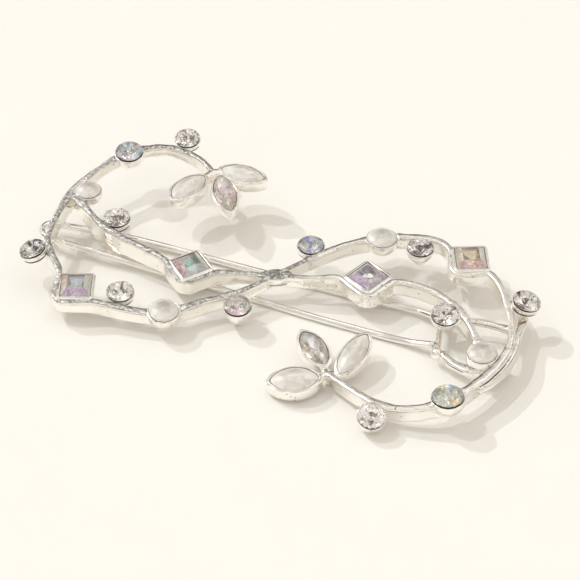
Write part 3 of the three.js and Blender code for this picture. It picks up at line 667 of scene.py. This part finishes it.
# Square stones: the table's share of the width, its height, the girdle's height, and the steps of the back as
# share of the half width and depth below the edge.
SQUARE_TABLE = 0.56
SQUARE_CROWN = 1.0
SQUARE_GIRDLE = 0.15
SQUARE_BACK = [(0.36, 1.05), (0.62, 1.45)]
SQUARE_TIP = 1.75
# Leaf stones: share of the half length, share of the half width, corners, height.
LEAF_TABLE = (0.50, 0.46, 8, 0.66)
LEAF_SHOULDER = (0.80, 0.80, 12, 0.36)
LEAF_BACK = {"iris": (0.48, 0.5, 8, SEAT - 0.8), "frosted": (0.48, 0.5, 4, SEAT - 0.8)}
LEAF_EDGE_CORNERS = 24
LEAF_GIRDLE = 0.2
LEAF_TIP = 1.3
# The ridge along the middle of a frosted leaf: share of the half length, height.
LEAF_RIDGE_REACH = 0.24
LEAF_RIDGE_TOP = 0.74
# Facets that lie within this many degrees of each other are one.
FACET_ANGLE = 1.0
# Shade warms a tone: powers of the light that is kept, for red, green and blue.
SHADE_POWERS = (1.0, 1.05, 1.12)


def hull_mesh(name, points, centre, turn, paint, shade=None):
    """The stone whose facets are the hull of the points. paint gives each facet's slot and tone, shade how
    much light each corner keeps."""
    work = bmesh.new()
    for p in points:
        work.verts.new(p)
    made = bmesh.ops.convex_hull(work, input=work.verts)
    loose = [v for v in set(made["geom_interior"] + made["geom_unused"]) if isinstance(v, bmesh.types.BMVert)]
    bmesh.ops.delete(work, geom=loose, context="VERTS")
    bmesh.ops.dissolve_limit(work, angle_limit=math.radians(FACET_ANGLE), verts=work.verts, edges=work.edges)
    bmesh.ops.recalc_face_normals(work, faces=work.faces)
    painted = []
    for index, face in enumerate(work.faces):
        slot, tone = paint(face.normal.copy(), face.calc_center_median(), index)
        face.material_index = slot
        painted.append(tone)
    kept = [shade(vert.co) if shade else 1.0 for vert in work.verts]
    for vert in work.verts:
        vert.co = to_world(centre + turn @ vert.co)
    mesh = bpy.data.meshes.new(name)
    work.to_mesh(mesh)
    work.free()
    tones = mesh.color_attributes.new("tone", "FLOAT_COLOR", "CORNER")
    for polygon, tone in zip(mesh.polygons, painted):
        for loop in polygon.loop_indices:
            share = kept[mesh.loops[loop].vertex_index]
            shaded = [c * share ** power for c, power in zip(tone, SHADE_POWERS)]
            tones.data[loop].color = (*shaded, 1.0)
    return mesh


def cut_points(cut, radius, tip):
    """Corners of a round stone, from its top down to the tip of its pointed back."""
    points = []
    for share, z, count, shift in cut:
        angles = [math.radians(360 * (k + shift) / count) for k in range(count)]
        points += [Vector((radius * share * math.cos(a), radius * share * math.sin(a), z)) for a in angles]
    return [*points, Vector((0, 0, tip))]


def square_points(half_x, half_y):
    """A square stone: four sloping sides round a flat table, and a stepped back."""
    levels = [
        # inset from the edge, height
        (half_x * (1 - SQUARE_TABLE), SQUARE_CROWN), (0.0, SEAT), (GIRDLE_INSET, SEAT - SQUARE_GIRDLE),
        *((half_x * share, SEAT - depth) for share, depth in SQUARE_BACK),
    ]
    corners = [
        Vector((sx * (half_x - inset), sy * (half_y - inset), z))
        for inset, z in levels for sx, sy in SQUARE_SIGNS
    ]
    return [*corners, Vector((0, 0, SEAT - SQUARE_TIP))]


def leaf_points(half_length, half_width, kind):
    """A pointed oval stone: a small table, two rounds of facets and a pointed back. A frosted one has a ridge
    along its middle."""
    def level(along, across, corners, z):
        return leaf_outline(half_length * along, half_width * across, corners)(0.0, z)
    edge = leaf_outline(half_length, half_width, LEAF_EDGE_CORNERS)
    reach = half_length * LEAF_RIDGE_REACH
    ridge = [Vector((x, 0, LEAF_RIDGE_TOP)) for x in (-reach, reach)] if kind == "frosted" else []
    return [
        *ridge, *level(*LEAF_TABLE), *level(*LEAF_SHOULDER),
        *edge(0.0, SEAT), *edge(-GIRDLE_INSET, SEAT - LEAF_GIRDLE),
        *level(*LEAF_BACK[kind]), Vector((0, 0, SEAT - LEAF_TIP)),
    ]


# Tones of the iridescent glass by side as seen by the viewer: 0 right, 90 away, 180 left, 270 near.
ROUND_TONES = {
    "iris_stone_left_1": {
        "table": (220, 232, 236), 0: (208, 236, 232), 60: (208, 232, 232), 120: (112, 160, 242),
        160: (186, 204, 230), 200: (210, 188, 186), 250: (202, 160, 182), 300: (212, 190, 206),
    },
    "iris_stone_left_2": {
        "table": (250, 244, 232), 0: (196, 242, 234), 60: (226, 244, 228), 120: (252, 244, 212),
        180: (250, 242, 226), 225: (232, 184, 208), 270: (236, 158, 196), 315: (232, 200, 216),
    },
    "iris_stone_right_1": {
        "table": (222, 234, 244), 0: (236, 242, 244), 60: (188, 216, 244), 120: (222, 224, 186),
        180: (236, 236, 206), 230: (250, 248, 232), 270: (222, 236, 248), 310: (250, 188, 124),
    },
    "iris_stone_right_2": {
        "table": (222, 218, 222), 0: (220, 236, 230), 60: (204, 218, 234), 100: (88, 100, 208),
        150: (204, 204, 206), 200: (242, 234, 204), 250: (250, 238, 198), 300: (248, 238, 206),
    },
}
SQUARE_TONES = {
    "square_stone_left": {
        "table": [(176, 208, 232), (216, 232, 206), (250, 251, 252), (180, 204, 222)],
        "left": (214, 170, 144), "right": (236, 242, 208), "near": (208, 154, 218), "away": (230, 238, 240),
    },
    "square_stone_right": {
        "table": [(252, 206, 122), (254, 248, 238), (252, 228, 176), (250, 214, 140)],
        "left": (190, 184, 160), "right": (244, 240, 230), "near": (230, 164, 172), "away": (248, 238, 214),
    },
    "diamond_stone_left": {
        "table": [(70, 176, 158), (120, 196, 178), (214, 238, 240), (176, 216, 214)],
        "left": (210, 122, 122), "right": (234, 230, 214), "near": (232, 232, 240), "away": (204, 204, 144),
    },
    "diamond_stone_right": {
        "table": [(200, 214, 220), (206, 200, 160), (206, 192, 214), (196, 208, 214)],
        "left": (184, 150, 204), "right": (224, 198, 200), "near": (206, 184, 216), "away": (210, 214, 196),
    },
}
LEAF_TONES = {
    "iris_leaf_left": {
        "table": (246, 198, 208), "root": (244, 234, 196), "point": (248, 234, 184),
        "left": (254, 250, 232), "right": (236, 170, 188),
    },
    "iris_leaf_right": {
        "table": (226, 238, 250), "root": (222, 196, 166), "point": (170, 208, 244),
        "left": (254, 226, 180), "right": (236, 236, 240),
    },
}
FOIL_LIGHT = [(255, 255, 255), (253, 252, 251), (255, 254, 252), (244, 243, 243)]
# Dark tones painted on some foil facets of clear stones as a dark reflection.
FOIL_PAINTED_DARK = [(88, 70, 62), (58, 46, 42), (124, 110, 108), (84, 76, 84)]
FOIL_SOFT = [(255, 254, 250), (252, 248, 240), (255, 252, 246), (222, 212, 200)]
FROSTED_SHADE = {"reach": 1.0, "rise": 1.5, "middle": 0.36, "far_side": 0.16, "above": 0.05}
# How soon the light line along a frosted leaf's middle gives way to shade.
LEAF_RIDGE = 2.4
# Facet tones of a frosted stone, picked at random, painted as the soft light and shade of its facets.
FROSTED_FACES = [(255, 254, 249), (255, 252, 245), (249, 244, 236), (240, 233, 223)]

# Slots of a stone's materials.
FACE_SLOT = 0
FOIL_SLOT = 1
SIDE_SLOT = 2
# A facet belongs to the front if its normal rises past the first of these, and to the table past the second.
FRONT = 0.02
TABLE = 0.97
# Foil facets of a clear stone painted dark as a dark reflection, mostly deep on the far side of its back. The
# shares are those of dark facets.
PAINTED_DARK_FACETS = {"from": 50, "to": 150, "below": -0.6, "share": 0.6, "elsewhere": 0.04}
PLAIN_FOIL_SHARE = 0.6
SOFT_FOIL_SHARE = 0.3
TABLE_FOIL_BELOW = SEAT - 0.8
LEAF_END = 0.55
SQUARE_TABLE_GLASS = (252, 252, 251)
CLEAR_GLASS = (255, 254, 253)
# Light meets a tinted surface more than once, so each meeting takes only a power of the tone.
TINT = {"glass": 0.32, "side": 0.78, "foil": 0.7, "table_foil": 0.5}


def scatter(index, seed):
    """A repeatable number from 0 to 1."""
    return (math.sin(index * 12.9898 + seed * 78.233) * 43758.5453) % 1.0


def tint(rgb, surface):
    return tuple(c ** TINT[surface] for c in linear(rgb))


def foil_tint(tones, index, seed):
    return tint(tones[int(scatter(index, seed + 5) * len(tones))], "foil")


def viewed_angle(direction):
    return (math.degrees(math.atan2(direction.y, direction.x)) - RIGHT_ANGLE) % 360


def nearest_tone(tones, angle):
    angles = [key for key in tones if key != "table"]
    return tones[min(angles, key=lambda a: min(abs(a - angle), 360 - abs(a - angle)))]


# Each paint function gives a facet's material slot and tone from its normal, its centre and its number.

def paint_clear(seed):
    def paint(normal, centre, index):
        if normal.z > FRONT:
            return FACE_SLOT, linear(CLEAR_GLASS)
        # Deep facets on the far side are mostly painted dark as a dark reflection, and a few elsewhere too.
        far_side = PAINTED_DARK_FACETS["from"] < viewed_angle(centre) < PAINTED_DARK_FACETS["to"]
        in_shade = centre.z < PAINTED_DARK_FACETS["below"] and far_side
        dark = scatter(index, seed) < PAINTED_DARK_FACETS["share" if in_shade else "elsewhere"]
        return FOIL_SLOT, foil_tint(FOIL_PAINTED_DARK if dark else FOIL_LIGHT, index, seed)
    return paint


def paint_iris_round(name, seed):
    tones = ROUND_TONES[name]

    def paint(normal, centre, index):
        if normal.z > TABLE:
            return FACE_SLOT, tint(tones["table"], "glass")
        tone = nearest_tone(tones, viewed_angle(centre))
        if normal.z > FRONT:
            return FACE_SLOT, tint(tone, "glass")
        plain = scatter(index, seed) < PLAIN_FOIL_SHARE
        return FOIL_SLOT, foil_tint(FOIL_LIGHT if plain else [tone], index, seed)
    return paint


def side_of(direction, turn):
    angle = viewed_angle(turn @ direction)
    for side, middle in (("right", 0), ("away", 90), ("left", 180), ("near", 270)):
        if abs(angle - middle) <= 45:
            return side
    return "right"


def paint_square(name, turn, seed):
    tones = SQUARE_TONES[name]

    def paint(normal, centre, index):
        if normal.z > TABLE:
            return FACE_SLOT, linear(SQUARE_TABLE_GLASS)
        if normal.z > FRONT:
            return SIDE_SLOT, tint(tones[side_of(normal, turn)], "side")
        if centre.z < TABLE_FOIL_BELOW:
            return FOIL_SLOT, tint(tones["table"][index % 4], "table_foil")
        return FOIL_SLOT, foil_tint(FOIL_LIGHT, index, seed)
    return paint


def paint_leaf(name, half_length, turn, seed):
    tones = LEAF_TONES[name]

    def side(normal, centre):
        if normal.z > TABLE:
            return "table"
        if abs(centre.x) > half_length * LEAF_END:
            return "root" if centre.x < 0 else "point"
        return "left" if math.cos(math.radians(viewed_angle(turn @ normal))) < 0 else "right"

    def paint(normal, centre, index):
        if normal.z > FRONT:
            return FACE_SLOT, tint(tones[side(normal, centre)], "glass")
        soft = scatter(index, seed) < SOFT_FOIL_SHARE
        return FOIL_SLOT, foil_tint(FOIL_SOFT if soft else FOIL_LIGHT, index, seed)
    return paint


def paint_frosted(seed):
    def paint(normal, _centre, index):
        if normal.z > FRONT:
            return FACE_SLOT, linear(FROSTED_FACES[int(scatter(index, seed) * len(FROSTED_FACES))])
        return FOIL_SLOT, foil_tint(FOIL_SOFT, index, seed)
    return paint


def frosted_shade(half_x, half_y, turn, ridge=0.0):
    """Shade where the pointed back shows through a frosted stone's middle, and most on its far side. ridge is
    zero for a stone with no light line along its middle."""
    def shade(point):
        if point.z < FROSTED_SHADE["above"]:
            return 1.0
        away = math.sin(math.radians(viewed_angle(turn @ point)))
        distance = math.hypot(point.x / half_x, point.y / half_y)
        depth = min(1.0, max(0.0, FROSTED_SHADE["reach"] - distance) * FROSTED_SHADE["rise"])
        if ridge:
            depth *= min(1.0, ridge * abs(point.y) / half_y)
        return 1.0 - depth * (FROSTED_SHADE["middle"] + FROSTED_SHADE["far_side"] * away)
    return shade


# ---------------------------------------------------------------- settings

# Tops of the cups from the inside over the rim: offset, height. A round one's offset is from its outer edge.
ROUND_CUP_TOP = [
    (-1.0, -1.35), (-0.24, -1.2), (-0.20, -0.14), (-0.18, -0.04), (-0.12, 0.0),
    (-0.05, -0.01), (-0.01, -0.06), (0.0, -0.16),
]
# The same with a broad lip.
WIDE_CUP_TOP = [
    (-1.0, -1.35), (-0.42, -1.2), (-0.38, -0.1), (-0.35, 0.0), (-0.24, 0.06),
    (-0.09, 0.04), (-0.01, -0.05), (0.0, -0.16),
]
# The offset of a leaf's or a square's cup is from its stone's edge. These two have a bead outside their lip.
LEAF_CUP_TOP = [
    (-0.5, -1.5), (0.03, -1.3), (0.08, -0.2), (0.07, -0.02), (0.12, 0.05), (0.20, 0.06), (0.27, 0.0),
    (0.30, -0.12), (0.33, -0.16), (0.38, -0.13), (0.43, -0.2), (0.45, -0.36),
]
BOX_CUP_TOP = [
    (-0.6, -1.95), (0.04, -1.3), (0.08, -0.2), (0.08, 0.0), (0.14, 0.07), (0.24, 0.08), (0.32, 0.02),
    (0.36, -0.09), (0.41, -0.12), (0.49, -0.10), (0.56, -0.17), (0.59, -0.32),
]
# Bands of a cup's top that are its inside, painted dark as shade.
INSIDE_BANDS = 3
# Outsides of the cups below their tops. Round ones: share of the radius, share of the depth below the edge.
ROUND_BODIES = {
    "cone": [(0.98, 0.18), (0.88, 0.34), (0.70, 0.55), (0.47, 0.78), (0.30, 0.93), (0.17, 0.99), (0.05, 1.0)],
    "bowl": [(1.0, 0.22), (0.97, 0.42), (0.88, 0.62), (0.72, 0.79), (0.50, 0.91), (0.27, 0.98), (0.05, 1.0)],
}
ROUND_EDGE = 0.18
# The others: offset from the stone's edge, share of the depth.
LEAF_BODY = [(0.46, 0.35), (0.47, 0.6), (0.42, 0.8), (0.25, 0.92), (-0.1, 0.98), (-0.9, 1.0)]
BOX_BODY = [(0.59, 0.25), (0.57, 0.6), (0.52, 0.86), (0.42, 0.95), (0.22, 1.0), (-1.2, 1.0)]


def round_body(radius, depth, shape):
    steps = ROUND_BODIES[shape]
    return [(radius * share - radius, -ROUND_EDGE - (depth - ROUND_EDGE) * down) for share, down in steps]


def straight_body(steps, depth):
    return [(offset, -depth * down) for offset, down in steps]


def add_cup(stone, outline, levels, centre, turn, metals, seed):
    """The cup of a stone, lofted from its inside over its rim and down to its tip."""
    rings = [placed(outline(offset, z), centre, turn) for offset, z in levels]
    slots = [1] * INSIDE_BANDS + [0] * (len(rings) - 1 - INSIDE_BANDS)
    add_casting("cup_of_" + stone, rings, metals, "cup", seed, slots)


def add_stone(name, mesh, materials):
    finish_piece("look_of_" + name, mesh, materials, name)


def vine_points():
    made = []
    for name, rows in VINE_PATHS.items():
        if name.startswith("vine"):
            made.extend(Vector(p[:3]) for p in smooth_path(rows, 0.5))
    return made


def build_vine(metal):
    for seed, (name, rows) in enumerate(VINE_PATHS.items()):
        add_casting(name, strip_rings(strip_points(rows)), [metal], "vine", seed)


def add_stem(stone, x, y, rim, radius, ridge, metal, seed):
    """A stem from inside a round cup to the vine's nearest ridge, unless the cup stands on the vine."""
    nearest = min(ridge, key=lambda p: math.hypot(p.x - x, p.y - y))
    distance = math.hypot(nearest.x - x, nearest.y - y)
    if distance <= radius / 2:
        return
    share = (radius - STEM["inside_cup"]) / distance
    inner = Vector((x, y, 0)).lerp(Vector((nearest.x, nearest.y, 0)), share)
    top = rim - STEM["ridge_below_rim"]
    rings = short_strip((inner.x, inner.y, top), (nearest.x, nearest.y, top), STEM["wall"], STEM["width"])
    add_casting("stem_of_" + stone, rings, [metal], "stem", seed)


def build_rounds(stones, metal, inside):
    ridge = vine_points()
    for seed, (name, kind, x, y, rim, radius, depth, tilt, toward, shape) in enumerate(ROUNDS):
        centre, turn = Vector((x, y, rim)), turn_of(tilt, toward)
        wide = name == WIDE_RIM_STONE
        levels = [*(WIDE_CUP_TOP if wide else ROUND_CUP_TOP), *round_body(radius, depth, shape)]
        cup_seed = seed + CUP_SEEDS["round"]
        add_cup(name, round_outline(radius), levels, centre, turn, [metal, inside], cup_seed)
        edge = radius - (WIDE_RIM if wide else RIM_SHOWN[kind])
        if kind == "frosted":
            points, shade = cut_points(FROSTED_CUT, edge, FROSTED_TIP), frosted_shade(edge, edge, turn)
            mesh = hull_mesh(name, points, centre, turn, paint_frosted(seed), shade)
        else:
            spin = Quaternion(UP, math.radians(360 * scatter(seed, 3)))
            points = [spin @ p for p in cut_points(ROUND_CUT, edge, ROUND_TIP)]
            paint = paint_clear(seed) if kind == "clear" else paint_iris_round(name, seed)
            mesh = hull_mesh(name, points, centre, turn, paint)
        add_stone(name, mesh, stones[kind][:2])
        add_stem(name, x, y, rim, radius, ridge, metal, seed)


def build_squares(stones, metal, inside):
    for seed, (name, x, y, rim, half_x, half_y, depth, turn_deg) in enumerate(SQUARES):
        centre, turn = Vector((x, y, rim)), turn_of(0, 0, turn_deg)
        levels = [*BOX_CUP_TOP, *straight_body(BOX_BODY, depth)]
        cup_seed = seed + CUP_SEEDS["square"]
        add_cup(name, square_outline(half_x, half_y), levels, centre, turn, [metal, inside], cup_seed)
        mesh = hull_mesh(name, square_points(half_x, half_y), centre, turn, paint_square(name, turn, seed))
        add_stone(name, mesh, stones["iris"])


def build_leaves(stones, metal, inside):
    ends = {"left": VINE_PATHS["vine_left_outer"][0], "right": VINE_PATHS["vine_right_outer"][-1]}
    for seed, (name, kind, half_width, depth, start, end) in enumerate(LEAVES):
        start, end = Vector(start), Vector(end)
        centre, turn = (start + end) / 2, leaf_turn(start, end)
        half_length = (end - start).length / 2 - LEAF_WALL * LEAF_POINT_STRETCH
        levels = [*LEAF_CUP_TOP, *straight_body(LEAF_BODY, depth)]
        cup_seed = seed + CUP_SEEDS["leaf"]
        add_cup(name, leaf_outline(half_length, half_width), levels, centre, turn, [metal, inside], cup_seed)
        if kind == "frosted":
            paint, shade = paint_frosted(seed + 2), frosted_shade(half_length, half_width, turn, LEAF_RIDGE)
        else:
            paint, shade = paint_leaf(name, half_length, turn, seed), None
        mesh = hull_mesh(name, leaf_points(half_length, half_width, kind), centre, turn, paint, shade)
        add_stone(name, mesh, stones[kind][:2])
        vine_x, vine_y, *_ = ends["left" if "left" in name else "right"]
        into = start + (end - start).normalized() * TWIG["reach"]
        top = start.z - TWIG["ridge_below_rim"]
        vine_end, cup_end = (vine_x, vine_y, top + TWIG["rise"]), (into.x, into.y, top)
        rings = short_strip(vine_end, cup_end, TWIG["wall"], TWIG["width"])
        add_casting("twig_of_" + name, rings, [metal], "twig", seed)


def build_crossing(metal):
    outline = leaf_outline(PATCH["half_length"], PATCH["half_width"], PATCH["sides"])
    centre, turn = Vector((0, 0, PATCH["top"])), turn_of(0, 0, PATCH["turn"])
    rings = [placed(outline(offset, z), centre, turn) for offset, z in PATCH_LEVELS]
    add_casting("crossing_patch", rings, [metal], "patch")


def lathe(profile, start, direction, count):
    """Rings round an axis: profile rows are (distance along, radius)."""
    side = direction.orthogonal().normalized()
    other = direction.cross(side)
    return [
        [start + direction * along + (side * math.cos(a) + other * math.sin(a)) * radius
         for a in circle(count)]
        for along, radius in profile
    ]


def build_knuckles(metal):
    """Two knuckles, each a rounded lug with a blind bore for one stub end of the bail's rod."""
    direction = (HINGE_FAR - HINGE_NEAR).normalized()
    r, length = KNUCKLE["radius"], KNUCKLE["length"]
    bore, deep = BORE["radius"], BORE["depth"]
    profile = [
        (deep, AXIS_HOLE), (deep, bore * 0.9), (deep - 0.1, bore), (0.08, bore), (0.0, bore + 0.08),
        (0.02, r * 0.82), (0.14, r * 0.95), (0.4, r),
        *((length * along, r * share) for along, share in KNUCKLE_BODY), (length, AXIS_HOLE),
    ]
    ends = {"knuckle_near": (HINGE_NEAR, -direction), "knuckle_far": (HINGE_FAR, direction)}
    for name, (end, outward) in ends.items():
        rings = lathe(profile, end + outward * KNUCKLE["start"], outward, KNUCKLE["sides"])
        add_casting(name, rings, [metal], "knuckle")


def build_blocks(metal):
    inset = BLOCK_EDGE["inset"]
    for seed, (name, (x, y, length, width, foot, top, turn_deg)) in enumerate(BLOCKS.items()):
        outline = square_outline(length / 2 - inset, width / 2 - inset, BLOCK_EDGE["corner"])
        levels = [(0.02, foot), (0.14, foot + 0.05), (inset, foot + 0.2), (inset, top - 0.15), (0.12, top)]
        turn = turn_of(0, 0, turn_deg)
        rings = [placed(outline(offset, z), Vector((x, y, 0)), turn) for offset, z in levels]
        add_casting(name, rings, [metal], "block", seed)


def wire_rings():
    """Round sections along the bail's wire, each turned on from the one before, so that none twists."""
    points = [Vector(p) for p in smooth_path(WIRE_PATH, WIRE_STEP)]
    rings = []
    up = UP.copy()
    for index, point in enumerate(points):
        tangent = (points[min(index + 1, len(points) - 1)] - points[max(index - 1, 0)]).normalized()
        side = tangent.cross(up).normalized()
        up = side.cross(tangent).normalized()
        section = [(side * math.cos(a) + up * math.sin(a)) * WIRE_RADIUS for a in circle(WIRE_SIDES)]
        rings.append([point + corner for corner in section])
    return rings


def rod_rings():
    """The cross rod of the hinge with a thin stub at each end."""
    span = (HINGE_FAR - HINGE_NEAR).length
    whole = span + 2 * WIRE_RADIUS
    body = [(-WIRE_RADIUS + whole * k / ROD_STEPS, ROD_RADIUS) for k in range(ROD_STEPS + 1)]
    reach, radius = STUB["reach"], STUB["radius"]
    near = [(-reach, STUB["tip"]), (-reach, radius), (-WIRE_RADIUS - STUB["shoulder"], radius)]
    far = [(span - along, thickness) for along, thickness in reversed(near)]
    return lathe([*near, *body, *far], HINGE_NEAR, (HINGE_FAR - HINGE_NEAR).normalized(), ROD_SIDES)


def build_bail(wire, rough_wire):
    for name, rings, metal, skin in (
        ("bail_wire", wire_rings(), wire, "wire"), ("bail_rod", rod_rings(), rough_wire, "rod"),
    ):
        finish_piece(name, loft_mesh(name, rings, skin), [metal], "wire_bail", "bail")


# ---------------------------------------------------------------- stage

# Half the floor's width, and how far it lies under the barrette to keep the two apart, in metres.
FLOOR_HALF = 1.6
FLOOR_DROP = 2e-5
FLOOR_COLOURS = [(250, 248, 242), (248, 245, 239)]


def build_floor():
    mesh = bpy.data.meshes.new("floor")
    corners = [(sx * FLOOR_HALF, sy * FLOOR_HALF, -FLOOR_DROP) for sx, sy in SQUARE_SIGNS]
    mesh.from_pydata(corners, [], [(0, 1, 2, 3)])
    floor = bpy.data.objects.new("floor", mesh)
    bpy.context.scene.collection.objects.link(floor)
    material, n = new_material("floor_white")
    place = n.place()
    colour = n.mix(n.grain(place, "floor_shade"), *(linear(rgb) for rgb in FLOOR_COLOURS))
    bump = n.bump(n.grain(place, "floor_grain"), *FLOOR_BUMP)
    n.surface({"Base Color": colour, "Normal": bump, "Roughness": 0.7, "Specular IOR Level": 0.2})
    mesh.materials.append(material)


# Soft panels and dark gaps: plan angle counted leftwards from AWAY, elevation, inner and outer radius in
# degrees, strength.
STUDIO_PANELS = [
    (0, 8, 20, 40, -0.80), (62, 50, 11, 14, 0.9), (-38, 66, 9, 12, 0.7), (150, 62, 8, 11, 0.6),
    (-95, 44, 9, 12, 0.7), (180, 44, 7, 10, -0.55), (10, 46, 2, 4, 0.9), (-14, 36, 2, 4, 0.7),
    (98, 16, 12, 17, -0.75), (-72, 16, 12, 17, -0.75), (-140, 46, 5, 8, -0.5), (128, 34, 5, 8, -0.5),
    (0, 78, 5, 8, -0.4),
]
# Small bright lamps that give the stones and the metal their glints: plan angle and elevation.
GLINTS = [
    (24, 33), (-28, 22), (52, 24), (-62, 36), (84, 52), (-88, 66), (118, 30), (-118, 34), (152, 44),
    (-156, 58), (176, 24), (4, 62), (-34, 52), (36, 74), (-8, 26), (68, 36),
]
GLINT_SIZE = (2.2, 4.0)
GLINT_STRENGTH = 3.0
WORLD_LEVEL = 0.765
# The studio is a little darker at the horizon than above: height, then brightness.
HORIZON = (0.0, 0.2, 0.75, 0.95)
DARKEST = 0.04
TINT_SPAN = (0.1, 0.7)
DARK_TINT = (1.0, 0.88, 0.78, 1.0)
LIGHT_TINT = (1.0, 0.955, 0.89, 1.0)
# Lamps: direction towards the lamp, strength.
LAMPS = {"key_light": ((-0.685, 0.031, 1.0), 0.50), "second_light": ((-1.064, 0.359, 1.0), 0.70)}
LAMP_ANGLE = 0.5
LAMP_COLOUR = (1.0, 1.02, 1.06)
# Light that runs round inside a stone meets its foil many times before it comes out again.
GLOSSY_BOUNCES = 16
STONE_BOUNCES = 24


def build_world():
    """A pale studio with soft panels of light and a few dark gaps between them for the metal to show."""
    world = bpy.data.worlds.new("studio")
    bpy.context.scene.world = world
    world.use_nodes = True
    n = Nodes(world.node_tree)
    direction = n.add("ShaderNodeTexCoord").outputs["Generated"]

    def nearness(toward, elevation, inner, outer):
        """1 within inner degrees of a direction given by its plan angle from AWAY, 0 past outer degrees."""
        flat = Matrix.Rotation(math.radians(toward), 3, "Z") @ AWAY
        aim = flat * math.cos(math.radians(elevation)) + UP * math.sin(math.radians(elevation))
        inputs = {0: direction, 1: tuple(aim)}
        dot = n.add("ShaderNodeVectorMath", inputs, operation="DOT_PRODUCT").outputs["Value"]
        return n.spread(dot, math.cos(math.radians(outer)), math.cos(math.radians(inner)))

    level = n.spread(n.part(direction, 2), *HORIZON)
    glints = [(toward, elevation, *GLINT_SIZE, GLINT_STRENGTH) for toward, elevation in GLINTS]
    for toward, elevation, inner, outer, strength in STUDIO_PANELS + glints:
        level = n.math("ADD", level, n.times(nearness(toward, elevation, inner, outer), strength))
    level = n.math("MAXIMUM", level, DARKEST)
    tint_of_light = n.mix(n.spread(level, *TINT_SPAN), DARK_TINT, LIGHT_TINT)
    light = n.times(level, WORLD_LEVEL)
    background = n.add("ShaderNodeBackground", {"Color": tint_of_light, "Strength": light})
    n.add("ShaderNodeOutputWorld", {0: background.outputs[0]})


def build_lamps():
    for name, (direction, strength) in LAMPS.items():
        data = bpy.data.lights.new(name, "SUN")
        data.energy = strength
        data.angle = math.radians(LAMP_ANGLE)
        data.color = LAMP_COLOUR
        lamp = bpy.data.objects.new(name, data)
        lamp.rotation_mode = "QUATERNION"
        lamp.rotation_quaternion = Vector(direction).to_track_quat("Z", "Y")
        bpy.context.scene.collection.objects.link(lamp)


def build_camera():
    data = bpy.data.cameras.new("camera")
    data.lens = CAMERA_LENS
    data.sensor_width = CAMERA_SENSOR
    data.clip_start, data.clip_end = CAMERA_CLIP
    camera = bpy.data.objects.new("camera", data)
    place, aim = to_world(CAMERA_PLACE), to_world(CAMERA_AIM)
    camera.location = place
    camera.rotation_mode = "QUATERNION"
    camera.rotation_quaternion = (aim - place).to_track_quat("-Z", "Y")
    bpy.context.scene.collection.objects.link(camera)
    bpy.context.scene.camera = camera


noise.seed_set(NOISE_SEED)
build_camera()
build_floor()
build_world()
build_lamps()
bpy.context.scene.view_settings.view_transform = "Standard"
bpy.context.scene.cycles.glossy_bounces = GLOSSY_BOUNCES
bpy.context.scene.cycles.transmission_bounces = STONE_BOUNCES
bpy.context.scene.cycles.max_bounces = STONE_BOUNCES

casting = silver("cast_silver", (254, 252, 248), rough=(0.05, 0.16), pits=0.85, grain=0.55)
vine_metal = silver(
    "cast_silver_vine", (254, 252, 247), rough=(0.05, 0.17), pits=0.85, grain=0.7, mottled_and_shaded=True,
)
wire_metal = silver("silver_wire", (249, 247, 243), rough=(0.04, 0.11), pits=0.0, grain=0.12)
rod_metal = silver("rough_rod", (236, 232, 224), rough=(0.12, 0.3), pits=1.0, grain=1.8)
inside = shaded_inside()
# Materials of each kind of stone: face, foil and, for the squares, the sloping sides.
stones = {
    "clear": [
        cut_glass("cut_glass", clarity=1.0, sparkle=0.0),
        foil("mirror_foil", sparkle=0.12, roughness=0.03, white=0.0),
    ],
    "iris": [
        cut_glass("coated_glass", clarity=0.93, sparkle=0.15),
        foil("speckled_foil", sparkle=0.5, roughness=0.04, white=0.1),
        cut_glass("coated_side", clarity=0.5, sparkle=0.8),
    ],
    "frosted": [
        frosted_glass(),
        foil("soft_foil", sparkle=0.0, roughness=0.15, white=0.25),
    ],
}

build_vine(vine_metal)
build_crossing(vine_metal)
build_rounds(stones, casting, inside)
build_squares(stones, casting, inside)
build_leaves(stones, casting, inside)
build_knuckles(casting)
build_blocks(casting)
build_bail(wire_metal, rod_metal)
